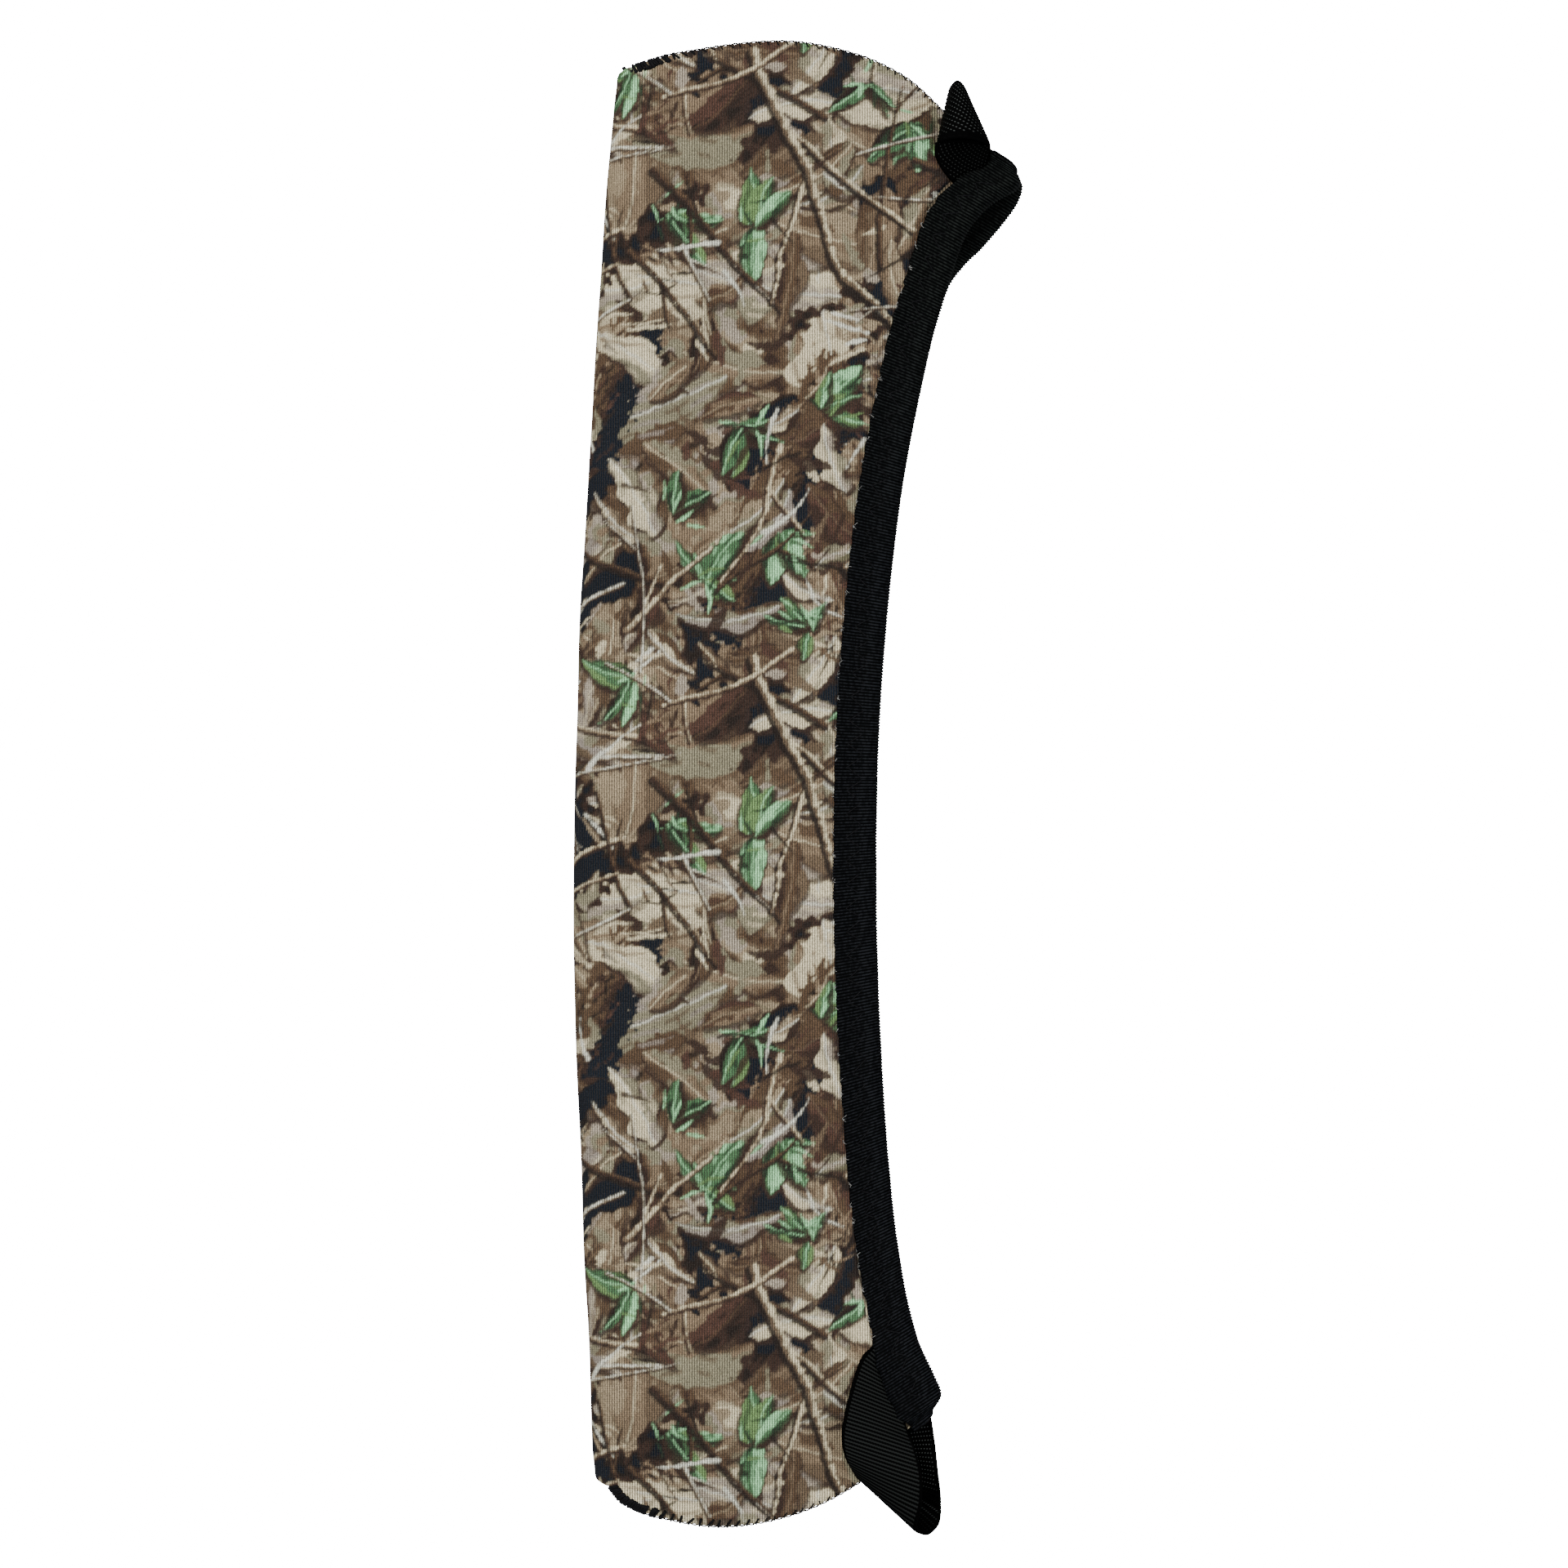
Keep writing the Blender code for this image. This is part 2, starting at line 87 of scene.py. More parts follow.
# ---------------------------------------------------------------- fine shape of the soft parts
SEAM_PRESS = 0.9            # how far the end seams pull the face in
SEAM_PRESS_FLAT = 3.0
SEAM_PRESS_FADE = 6.0
EDGE_ROLL = 2.4             # width and depth of the rounded edge outside an end seam
EDGE_DROP = 1.1
CORNER_CUT = 1.4            # the fold's outside stops this much short of the sewn ends
CORNER_REACH = 4.0
FOLD_THIN = 0.25            # the foam is this much thinner round the fold, where it is squeezed
FOLD_TAPER = 1.35           # and its end tapers off, so that it stays covered when the mouth opens
FOLD_TAPER_TO = 1.3
FOLD_FIRM = 0.55            # share of the seams' pull that the outside of the fold resists
LIP_LIFT = 1.9              # the webbing raises the front binding's two ends by this much
LIP_FLAT = 17.0
LIP_FADE = 10.0
LIP_ROUND = 1.5             # rounded end of the front binding
LIP_CORNER = 4.0
SWELL_FADE = 8.0            # the foam's swell fades out this far from a sewn end
PUCKER_PITCH = 7.4          # puckers along the two end seams
PUCKER_REACH = 9.0
PUCKER_DEPTH = 0.20
BAND_PUCKER_PITCH = 5.8     # puckers along the binding, one for each stitch of its zigzag
BAND_PUCKER_REACH = 3.5
BAND_PUCKER_DEPTH = 0.16
CLOTH_STEP = 0.42           # vertex spacing on the front's printed face
BACK_STEP = 1.25            # and how much coarser it is on the back's
INNER_STEP = 1.6            # vertex spacing on foam and lining
RING_STEPS = 36             # columns round the fold
SPLIT = 0.5                 # where the front's upper and lower halves meet, as a share of the length

WALE = 0.58                 # pitch of the knit's wales
COURSE = 0.5                # and of its courses
RIB = 0.70                  # pitch of the elastic's cross ribs
RIB_HEIGHT = 0.24
RIB_ROWS = 4                # mesh rows in one rib


def ease(value):
    value = np.clip(value, 0.0, 1.0)
    return value * value * (3.0 - 2.0 * value)


def mix(a, b, amount):
    return a + (b - a) * amount


class Path:
    """A smooth curve through points, run along at even speed by a fraction from 0 to 1."""
    STEPS = 24

    def __init__(self, points):
        points = np.array(points, dtype=np.float64)
        chords = np.linalg.norm(np.diff(points, axis=0), axis=1)
        last = len(points) - 1
        slopes = []
        for index in range(last + 1):
            before = max(index - 1, 0)
            after = min(index + 1, last)
            slopes.append((points[after] - points[before]) / chords[before:after].sum())
        fine = []
        for index, chord in enumerate(chords):
            u = (np.arange(self.STEPS) / self.STEPS)[:, None]
            fine.append(points[index] * (2 * u**3 - 3 * u**2 + 1)
                        + slopes[index] * chord * (u**3 - 2 * u**2 + u)
                        + points[index + 1] * (3 * u**2 - 2 * u**3)
                        + slopes[index + 1] * chord * (u**3 - u**2))
        self.fine = np.concatenate(fine + [points[-1:]])
        steps = np.linalg.norm(np.diff(self.fine, axis=0), axis=1)
        self.reach = np.concatenate([[0.0], np.cumsum(steps)])
        self.length = self.reach[-1]

    def __call__(self, fraction):
        wanted = np.clip(fraction, 0.0, 1.0) * self.length
        return np.stack([np.interp(wanted, self.reach, axis) for axis in self.fine.T], axis=-1)


fold_line = Path(FOLD_LINE)
upper_end = Path(UPPER_END)
lower_end = Path(LOWER_END)
mouths = {"front": Path(FRONT_MOUTH), "back": Path(BACK_MOUTH)}


def end_distance(s):
    return COVER_LENGTH * np.minimum(s, 1.0 - s)


def height(s, t):
    sewn = mix(GAP_SEWN, GAP_SEWN_AT_MOUTH, ease((t - SEWN_RISE_FROM) / SEWN_RISE_OVER))
    free = mix(GAP_FOLD, GAP_MOUTH, t)
    return 2.0 * LAMINATE + mix(sewn, free, ease(end_distance(s) / GAP_RISE))


def fold_point(s):
    point = fold_line(s)
    point[..., 0] += height(s, 0.0) / 2.0
    return point


def plan(side, s, t):
    """Plan position of one layer at s along the cover and t from the fold to the mouth."""
    s, t = np.broadcast_arrays(np.asarray(s, dtype=np.float64), np.asarray(t, dtype=np.float64))
    w = t[..., None]
    mouth = mouths[side]
    zero = np.zeros_like(s)
    one = np.ones_like(s)
    straight = mix(fold_point(s), mouth(s), w)
    upper = upper_end(t) - mix(fold_point(zero), mouth(zero), w)
    lower = lower_end(t) - mix(fold_point(one), mouth(one), w)
    return straight + upper * (1.0 - s[..., None]) ** 3 + lower * s[..., None] ** 3


def row_length(side, s):
    return np.linalg.norm(plan(side, s, 1.0) - plan(side, s, 0.0), axis=-1)


def binding_width(s):
    width = mix(BINDING_WIDTH_UPPER, BINDING_WIDTH, ease(s * COVER_LENGTH / 7.0))
    width = mix(width, BINDING_WIDTH_LOWER, ease((s - 0.9) / 0.07))
    return mix(width, BINDING_WIDTH_TIP, ease(((s - 1.0) * COVER_LENGTH + 6.0) / 6.0))


def lip_lift(s):
    """How far the webbing underneath raises the front binding at its two ends."""
    return LIP_LIFT * (1.0 - ease((end_distance(s) - LIP_FLAT) / LIP_FADE))


def scallop(s):
    """How the stitches draw the binding's inner edge in and out."""
    along = s * COVER_LENGTH / BAND_PUCKER_PITCH
    phase = along + 0.22 * np.sin(along * 1.7) + 0.15 * np.sin(along * 0.63 + 2.0)
    tooth = phase - np.floor(phase)
    return 0.55 * np.where(tooth < 0.8, tooth / 0.8, (1.0 - tooth) / 0.2) - 0.25


def swell(x, y):
    """Slow unevenness of the foam, about a tenth of a millimetre."""
    return (0.10 * np.sin(x / 9.1 + y / 17.0 + 0.4) + 0.08 * np.sin(-x / 6.3 + y / 11.5 + 1.9)
            + 0.07 * np.sin(x / 14.0 - y / 7.9 + 4.1) + 0.05 * np.sin(x / 4.4 + y / 5.7 + 0.9))


def end_press(s):
    """Depth of the face below the full thickness near a sewn end: the seam's pull and the rolled edge."""
    from_end = end_distance(s)
    pull = SEAM_PRESS * (1.0 - ease((from_end - SEAM_PRESS_FLAT) / SEAM_PRESS_FADE))
    inside = np.clip(1.0 - from_end / EDGE_ROLL, 0.0, 1.0)
    return pull + EDGE_DROP * (1.0 - np.sqrt(1.0 - inside**2 * 0.98))


def surface_puff(s, across, inset, x, y):
    """Small ups and downs of the outer face: foam swell, puckers at the end seams and at the binding."""
    from_end = end_distance(s)
    strength = np.exp(-from_end / PUCKER_REACH) * ease(from_end / 2.0)
    wobble = across / PUCKER_PITCH + 0.35 * np.sin(across / 11.0 + np.where(s < 0.5, 0.0, 2.0))
    pucker = PUCKER_DEPTH * strength * np.sin(TAU * wobble)
    beside = np.clip(inset - binding_width(s), 0.0, None)
    band = BAND_PUCKER_DEPTH * np.exp(-beside / BAND_PUCKER_REACH) * np.sin(TAU * y / BAND_PUCKER_PITCH)
    return swell(x, y) * ease(from_end / SWELL_FADE) + pucker + band


# ---------------------------------------------------------------- mesh building
def flat_faces(groups):
    """Loop starts, loop totals and vertex numbers of several arrays of equal-sided faces."""
    totals = np.concatenate([np.full(len(group), group.shape[1]) for group in groups])
    numbers = np.concatenate([group.ravel() for group in groups])
    starts = np.concatenate([[0], np.cumsum(totals)[:-1]])
    return starts, totals, numbers


def signed_volume(points, groups):
    total = 0.0
    for group in groups:
        corners = points[group]
        for index in range(1, group.shape[1] - 1):
            total += np.einsum("ij,ij->i", corners[:, 0],
                               np.cross(corners[:, index], corners[:, index + 1])).sum()
    return total


def mesh_object(name, points, groups, look, sharp):
    """A mesh object from points in millimetres and arrays of faces, turned so that it faces out."""
    points = np.asarray(points, dtype=np.float64).reshape(-1, 3)
    groups = [np.asarray(group, dtype=np.int64) for group in groups if len(group)]
    if signed_volume(points, groups) < 0.0:
        groups = [group[:, ::-1] for group in groups]
    starts, totals, numbers = flat_faces(groups)
    mesh = bpy.data.meshes.new(name)
    mesh.vertices.add(len(points))
    mesh.vertices.foreach_set("co", (points * MM).astype(np.float32).ravel())
    mesh.loops.add(len(numbers))
    mesh.loops.foreach_set("vertex_index", numbers.astype(np.int32))
    mesh.polygons.add(len(starts))
    mesh.polygons.foreach_set("loop_start", starts.astype(np.int32))
    mesh.polygons.foreach_set("loop_total", totals.astype(np.int32))
    mesh.update(calc_edges=True)
    mesh.shade_smooth()
    mesh.set_sharp_from_angle(angle=math.radians(sharp))
    mesh.materials.append(look)
    made = bpy.data.objects.new(name, mesh)
    bpy.context.collection.objects.link(made)
    return made


def closed_sheet(name, outer, inner, skip, look, sharp=60.0):
    """A closed sheet. The inner grid has every skip-th row and column of the outer one."""
    rows, across = outer.shape[:2]
    skip_row, skip_col = skip
    front = np.arange(rows * across).reshape(rows, across)
    back = rows * across + np.arange(inner.shape[0] * inner.shape[1]).reshape(inner.shape[:2])
    groups = [
        np.stack([front[:-1, :-1], front[:-1, 1:], front[1:, 1:], front[1:, :-1]], -1).reshape(-1, 4),
        np.stack([back[:-1, :-1], back[1:, :-1], back[1:, 1:], back[:-1, 1:]], -1).reshape(-1, 4),
    ]
    for line, inner_line, skip_here, turned in (
            (front[0], back[0], skip_col, True), (front[-1], back[-1], skip_col, False),
            (front[:, 0], back[:, 0], skip_row, False), (front[:, -1], back[:, -1], skip_row, True)):
        wall = []
        for step in range(len(inner_line) - 1):
            run = list(line[step * skip_here:(step + 1) * skip_here + 1])
            face = run + [inner_line[step + 1], inner_line[step]]
            wall.append(face[::-1] if turned else face)
        groups.append(np.array(wall))
    return mesh_object(name, both_faces(outer, inner), groups, look, sharp)


def tube_arrays(points, radius, sides, offset):
    """Points and faces of one round thread, with flat caps."""
    points = np.asarray(points, dtype=np.float64)
    ahead = np.gradient(points, axis=0)
    ahead /= np.linalg.norm(ahead, axis=1)[:, None] + 1e-12
    normal = np.zeros_like(points)
    start = np.array((0.0, 0.0, 1.0)) if abs(ahead[0, 2]) < 0.9 else np.array((1.0, 0.0, 0.0))
    for index in range(len(points)):
        start = start - ahead[index] * (start @ ahead[index])
        start /= np.linalg.norm(start) + 1e-12
        normal[index] = start
    side = np.cross(ahead, normal)
    radius = np.broadcast_to(radius, (len(points),))
    angles = TAU * np.arange(sides) / sides
    ring = normal[:, None] * np.cos(angles)[None, :, None] + side[:, None] * np.sin(angles)[None, :, None]
    skin = (points[:, None] + ring * radius[:, None, None]).reshape(-1, 3)
    numbers = offset + np.arange(len(skin)).reshape(len(points), sides)
    around = np.roll(numbers, -1, axis=1)
    walls = np.stack([numbers[:-1], around[:-1], around[1:], numbers[1:]], -1).reshape(-1, 4)
    caps = np.stack([numbers[0][::-1], numbers[-1]])
    return skin, walls, caps


def threads(name, paths, look, sides=6):
    """One object of many separate threads, each a (points, radius) pair."""
    skins, walls, caps = [], [], []
    offset = 0
    for points, radius in paths:
        skin, wall, cap = tube_arrays(points, radius, sides, offset)
        skins.append(skin)
        walls.append(wall)
        caps.append(cap)
        offset += len(skin)
    return mesh_object(name, np.concatenate(skins), [np.concatenate(walls), np.concatenate(caps)], look, 80.0)


def both_faces(outer, inner):
    """The values on a closed sheet's two grids, in the order of its vertices."""
    return np.concatenate([outer.reshape(-1, 3), inner.reshape(-1, 3)])


def vector_attribute(piece, name, values):
    """A three-number value at each vertex, which the materials read."""
    attribute = piece.data.attributes.new(name, "FLOAT_VECTOR", "POINT")
    attribute.data.foreach_set("vector", values.astype(np.float32).ravel())


def colour_attribute(piece, name, values):
    attribute = piece.data.color_attributes.new(name, "FLOAT_COLOR", "POINT")
    alpha = np.ones((len(values), 1))
    attribute.data.foreach_set("color", np.concatenate([values, alpha], axis=1).astype(np.float32).ravel())


def grid_area(grid):
    """Area of a grid of points, in square millimetres."""
    down = grid[1:, :-1] - grid[:-1, :-1]
    along = grid[:-1, 1:] - grid[:-1, :-1]
    return float(np.linalg.norm(np.cross(down, along), axis=-1).sum())


def keep_flat_size(piece, width, length, grid):
    """Notes a sheet's unfolded width, length and area on the piece."""
    piece["width"] = float(width) * MM
    piece["length"] = float(length) * MM
    piece["area"] = grid_area(grid) * MM * MM


# ---------------------------------------------------------------- the leaf-and-twig print
TILE_V = 141.0              # the tile's length along the cover and its width across it
TILE_U = 208.0
DOT = 0.25
ROWS = int(TILE_V / DOT)
COLS = int(TILE_U / DOT)

INK = {
    "cream": (222, 217, 198), "light": (200, 195, 177), "greige": (176, 168, 154), "stone": (166, 158, 148),
    "sand": (168, 155, 130), "tan": (149, 131, 106), "khaki": (155, 150, 126), "olive": (124, 119, 92),
    "mid": (124, 106, 84), "bark": (104, 83, 63), "rust": (94, 68, 57), "umber": (68, 51, 43),
    "dark": (44, 36, 32), "navy": (24, 32, 42), "black": (19, 18, 18),
    "leaf": (92, 132, 92), "mint": (172, 202, 174), "fern": (128, 158, 104), "moss": (52, 72, 52),
}
LIGHT_LEVEL = 1.42          # brightness of white cloth under the studio's lights
HIGHLIGHT_LOSS = 1.35       # how much the view transform dims bright tones


def ink(name):
    """The dye that shows as the named colour under the studio's lights and view transform."""
    value = np.array(INK[name], dtype=np.float64) / 255.0
    shown = np.where(value <= 0.04045, value / 12.92, ((value + 0.055) / 1.055) ** 2.4)
    needed = shown / np.maximum(1.0 - HIGHLIGHT_LOSS * shown**2, 0.4)
    return np.minimum(needed / LIGHT_LEVEL, 0.85)


def field(rng, size, stretch=1.0, angle=0.0):
    """Smooth random field that repeats at the tile's edges, about unit spread."""
    v = np.fft.fftfreq(ROWS, DOT)[:, None]
    u = np.fft.fftfreq(COLS, DOT)[None, :]
    along = u * math.cos(angle) + v * math.sin(angle)
    across = -u * math.sin(angle) + v * math.cos(angle)
    shape = np.exp(-2.0 * (math.pi * size) ** 2 * 0.09 * ((along * stretch) ** 2 + across ** 2))
    noise = np.fft.ifft2(np.fft.fft2(rng.standard_normal((ROWS, COLS))) * shape).real
    return noise / noise.std()


def soft(value, width):
    """0 below zero, 1 above, blurred over a width."""
    return np.clip(value / width + 0.5, 0.0, 1.0)


class Print:
    """The repeating tile, painted in layers. All its random draws come from one generator, in order."""

    def __init__(self, seed):
        self.rng = np.random.default_rng(seed)
        self.dye = np.zeros((ROWS, COLS, 3))
        self.broad = field(self.rng, 6.0)
        self.rough = field(self.rng, 2.2)
        self.fine = field(self.rng, 1.0)

    def pick(self, low, high):
        return self.rng.uniform(low, high)

    def spot(self):
        return self.pick(0.0, TILE_U), self.pick(0.0, TILE_V)

    def window(self, u, v, reach):
        rows = np.arange(int((v - reach) / DOT), int((v + reach) / DOT) + 1)
        cols = np.arange(int((u - reach) / DOT), int((u + reach) / DOT) + 1)
        dv = (rows * DOT - v)[:, None]
        du = (cols * DOT - u)[None, :]
        return np.ix_(rows % ROWS, cols % COLS), du, dv

    def lay(self, place, cover, name):
        old = self.dye[place]
        self.dye[place] = old + (ink(name) - old) * cover[..., None]

    def flood(self, cover, name):
        self.dye += (ink(name) - self.dye) * cover[..., None]

    def ground(self):
        """Blotches of dry leaf in flat tones under everything."""
        self.dye[:] = ink("sand")
        drift = field(self.rng, 8.0, 1.5, 0.9) + 0.25 * self.rough
        for level, name in ((-1.1, "tan"), (-0.5, "khaki"), (0.1, "greige"), (0.7, "sand"), (1.3, "light")):
            self.flood(soft(drift - level, 0.08), name)
        brown = field(self.rng, 7.0, 1.8, -0.7) + 0.3 * self.rough
        for level, name in ((0.7, "mid"), (1.15, "bark"), (1.6, "umber")):
            self.flood(soft(brown - level, 0.08), name)

    def leaf(self, u, v, length, width, angle, tones, bend, lobes, shadow, ragged, shade="umber"):
        """A dry leaf: a lit and a shaded side, brush streaks along it, a shadow beneath."""
        place, du, dv = self.window(u, v, length * 0.62 + 4.0)
        rough, fine, broad = self.rough[place], self.fine[place], self.broad[place]
        cos, sin = math.cos(angle), math.sin(angle)
        blunt, sharp = self.pick(0.5, 0.9), self.pick(0.7, 1.5)
        phases = self.rng.uniform(0.0, TAU, 4)
        tilt = self.pick(-0.15, 0.25)

        def body(shift_u, shift_v, grow):
            a = (du - shift_u) * cos + (dv - shift_v) * sin
            b = -(du - shift_u) * sin + (dv - shift_v) * cos + bend * (a / length) ** 2 * length
            x = np.clip(a / length + 0.5, 0.0, 1.0)
            profile = x ** blunt * (1.0 - x) ** sharp
            profile = profile / ((blunt / (blunt + sharp)) ** blunt * (sharp / (blunt + sharp)) ** sharp)
            if lobes:
                tooth = np.abs(np.sin(math.pi * lobes * x + 0.6 * np.sign(b)))
                profile = profile * (1.0 - 0.5 * tooth ** 2)
            edge = width / 2 * profile - np.abs(b) + grow + ragged * rough * 0.5 + 0.12 * fine
            return a, b, np.where((x > 0.0) & (x < 1.0), edge, -9.0)

        _, _, edge = body(self.pick(-0.4, 0.9), -0.9, 0.35)
        self.lay(place, soft(edge, 0.5) * shadow, shade)
        a, b, edge = body(0.0, 0.0, 0.0)
        cover = soft(edge, 0.3)
        lit, middle, shaded, glint = tones
        self.lay(place, cover, middle)
        self.lay(place, cover * soft(b - tilt * width + 0.5 * rough + 0.8 * broad, 0.4), lit)
        self.lay(place, cover * soft(-b - 0.22 * width + 0.6 * rough + 0.6 * broad, 0.4), shaded)
        pace = TAU / self.pick(2.4, 4.2)
        wave = np.sin(b * pace + phases[0] + 1.2 * np.sin(a * 0.35 + phases[1]))
        hold = np.sin(a * TAU / self.pick(7.0, 16.0) + phases[2]) + 0.5 * rough
        self.lay(place, cover * soft(wave - 0.35, 0.3) * soft(hold - 0.2, 0.2) * 0.6, lit)
        self.lay(place, cover * soft(-wave - 0.55, 0.3) * soft(-hold - 0.1, 0.2) * 0.6, shaded)
        self.lay(place, cover * soft(0.20 - np.abs(b + 0.15 * rough), 0.25) * 0.8, glint)
        self.lay(place, cover * soft(0.5 - edge, 0.3) * soft(-b, 0.5) * 0.6, "umber")

    def stroke(self, points, widths, colour, strength, shift=(0.0, 0.0), ragged=0.10):
        """A brush stroke through points, with a width at each of them."""
        points = np.asarray(points, dtype=np.float64) + np.asarray(shift)
        widths = np.asarray(widths, dtype=np.float64)
        low = points.min(axis=0)
        high = points.max(axis=0)
        centre = (low + high) / 2
        reach = float((high - low).max()) / 2 + float(widths.max()) + 1.0
        place, du, dv = self.window(centre[0], centre[1], reach)
        edge = np.full(np.broadcast(du, dv).shape, -9.0)
        for p, q, wp, wq in zip(points, points[1:], widths, widths[1:]):
            step = q - p
            span = max(float(step @ step), 1e-9)
            pu = du + centre[0] - p[0]
            pv = dv + centre[1] - p[1]
            along = np.clip((pu * step[0] + pv * step[1]) / span, 0.0, 1.0)
            distance = np.hypot(pu - along * step[0], pv - along * step[1])
            edge = np.maximum(edge, (wp + (wq - wp) * along) / 2 - distance)
        edge = edge + ragged * self.fine[place] * min(1.0, float(widths.max()))
        self.lay(place, soft(edge, 0.25) * strength, colour)

    def wander(self, u, v, angle, length, sway):
        count = max(4, int(length / 5.0))
        points = [(u, v)]
        for _ in range(count):
            angle += self.rng.normal(0.0, sway)
            u += math.cos(angle) * length / count
            v += math.sin(angle) * length / count
            points.append((u, v))
        return points

    def shaded(self, points, widths, body, glint, shade):
        drop = 0.40 * float(widths.max()) + 0.15
        self.stroke(points, widths * 1.1 + 0.25, shade, 0.95, (-drop * 0.7, -drop))
        self.stroke(points, widths, body, 1.0)
        self.stroke(points, widths * 0.55, glint, 0.95, (drop * 0.2, drop * 0.4), 0.2)

    def twig(self, u, v, angle, length, width, body, glint, shade, forks=1, sway=0.12):
        points = self.wander(u, v, angle, length, sway)
        taper = np.linspace(1.0, 0.35, len(points)) * width
        for _ in range(forks):
            start = self.rng.integers(1, len(points) - 1)
            side = angle + self.rng.choice((-1, 1)) * self.pick(0.5, 0.95)
            branch = self.wander(*points[start], side, length * self.pick(0.25, 0.5), sway)
            thin = np.linspace(0.6, 0.25, len(branch)) * width
            self.shaded(branch, thin, body, glint, shade)
        self.shaded(points, taper, body, glint, shade)

    def tuft(self, u, v, angle, count, length, colours, spread=0.5, scatter=3.0, width=0.9):
        """Short tapered strokes that fan out, like needles or torn bark."""
        for _ in range(count):
            turn = angle + self.rng.normal(0.0, spread)
            reach = length * self.pick(0.5, 1.2)
            start = (u + self.rng.normal(0.0, scatter), v + self.rng.normal(0.0, scatter))
            middle = (start[0] + math.cos(turn) * reach * 0.5, start[1] + math.sin(turn) * reach * 0.5)
            turn += self.rng.normal(0.0, 0.25)
            end = (middle[0] + math.cos(turn) * reach * 0.5, middle[1] + math.sin(turn) * reach * 0.5)
            colour = colours[self.rng.integers(len(colours))]
            widths = np.array((0.5, 1.0, 0.15)) * width * self.pick(0.5, 1.2)
            self.stroke([start, middle, end], widths, colour, 0.95)

    def trunk(self, u, v, angle, length, width):
        """A thick torn stem: navy shade under it, streaks of bark along it."""
        points = self.wander(u, v, angle, length, 0.10)
        widths = np.linspace(1.0, 0.6, len(points)) * width
        self.stroke(points, widths * 1.35 + 2.0, "navy", 1.0, (2.8, -width * 0.5), 0.8)
        self.stroke(points, widths * 1.1, "umber", 1.0, (0.6, -0.9), 0.7)
        self.stroke(points, widths, "bark", 1.0, (0.0, 0.0), 0.7)
        for _ in range(int(length * 1.3)):
            at = self.rng.integers(0, len(points) - 1)
            side = self.rng.normal(0.0, 0.28) * width
            cu = points[at][0] - math.sin(angle) * side + self.pick(-3, 3)
            cv = points[at][1] + math.cos(angle) * side + self.pick(-3, 3)
            tones = ("umber", "dark", "rust") if side < 0 else ("tan", "sand", "mid", "tan", "umber")
            turn = angle + self.rng.normal(0.0, 0.22)
            reach = self.pick(2.5, 8.0)
            line = [(cu, cv), (cu + math.cos(turn) * reach, cv + math.sin(turn) * reach)]
            self.stroke(line, np.array((1.0, 0.3)) * self.pick(0.5, 1.3),
                        tones[self.rng.integers(len(tones))], 0.9, ragged=0.3)


# Tones of a leaf: its lit side, its middle, its shaded side and the glint on its rib.
DRY = [("sand", "tan", "mid", "light"), ("light", "greige", "khaki", "cream"),
       ("greige", "stone", "mid", "light"), ("khaki", "tan", "bark", "light"),
       ("sand", "khaki", "olive", "cream"), ("light", "sand", "tan", "cream"),
       ("stone", "khaki", "bark", "cream"), ("tan", "mid", "bark", "sand")]
BROWN = [("mid", "bark", "umber", "tan"), ("bark", "rust", "umber", "mid"), ("rust", "umber", "dark", "bark"),
         ("tan", "bark", "rust", "sand"), ("bark", "umber", "dark", "tan")]
GREEN = [("fern", "leaf", "moss", "mint"), ("mint", "leaf", "moss", "mint"), ("leaf", "moss", "dark", "mint")]
CHIPS = ("mid", "bark", "umber", "rust", "khaki", "light", "umber", "greige", "mid")
PRINT_SEED = 11


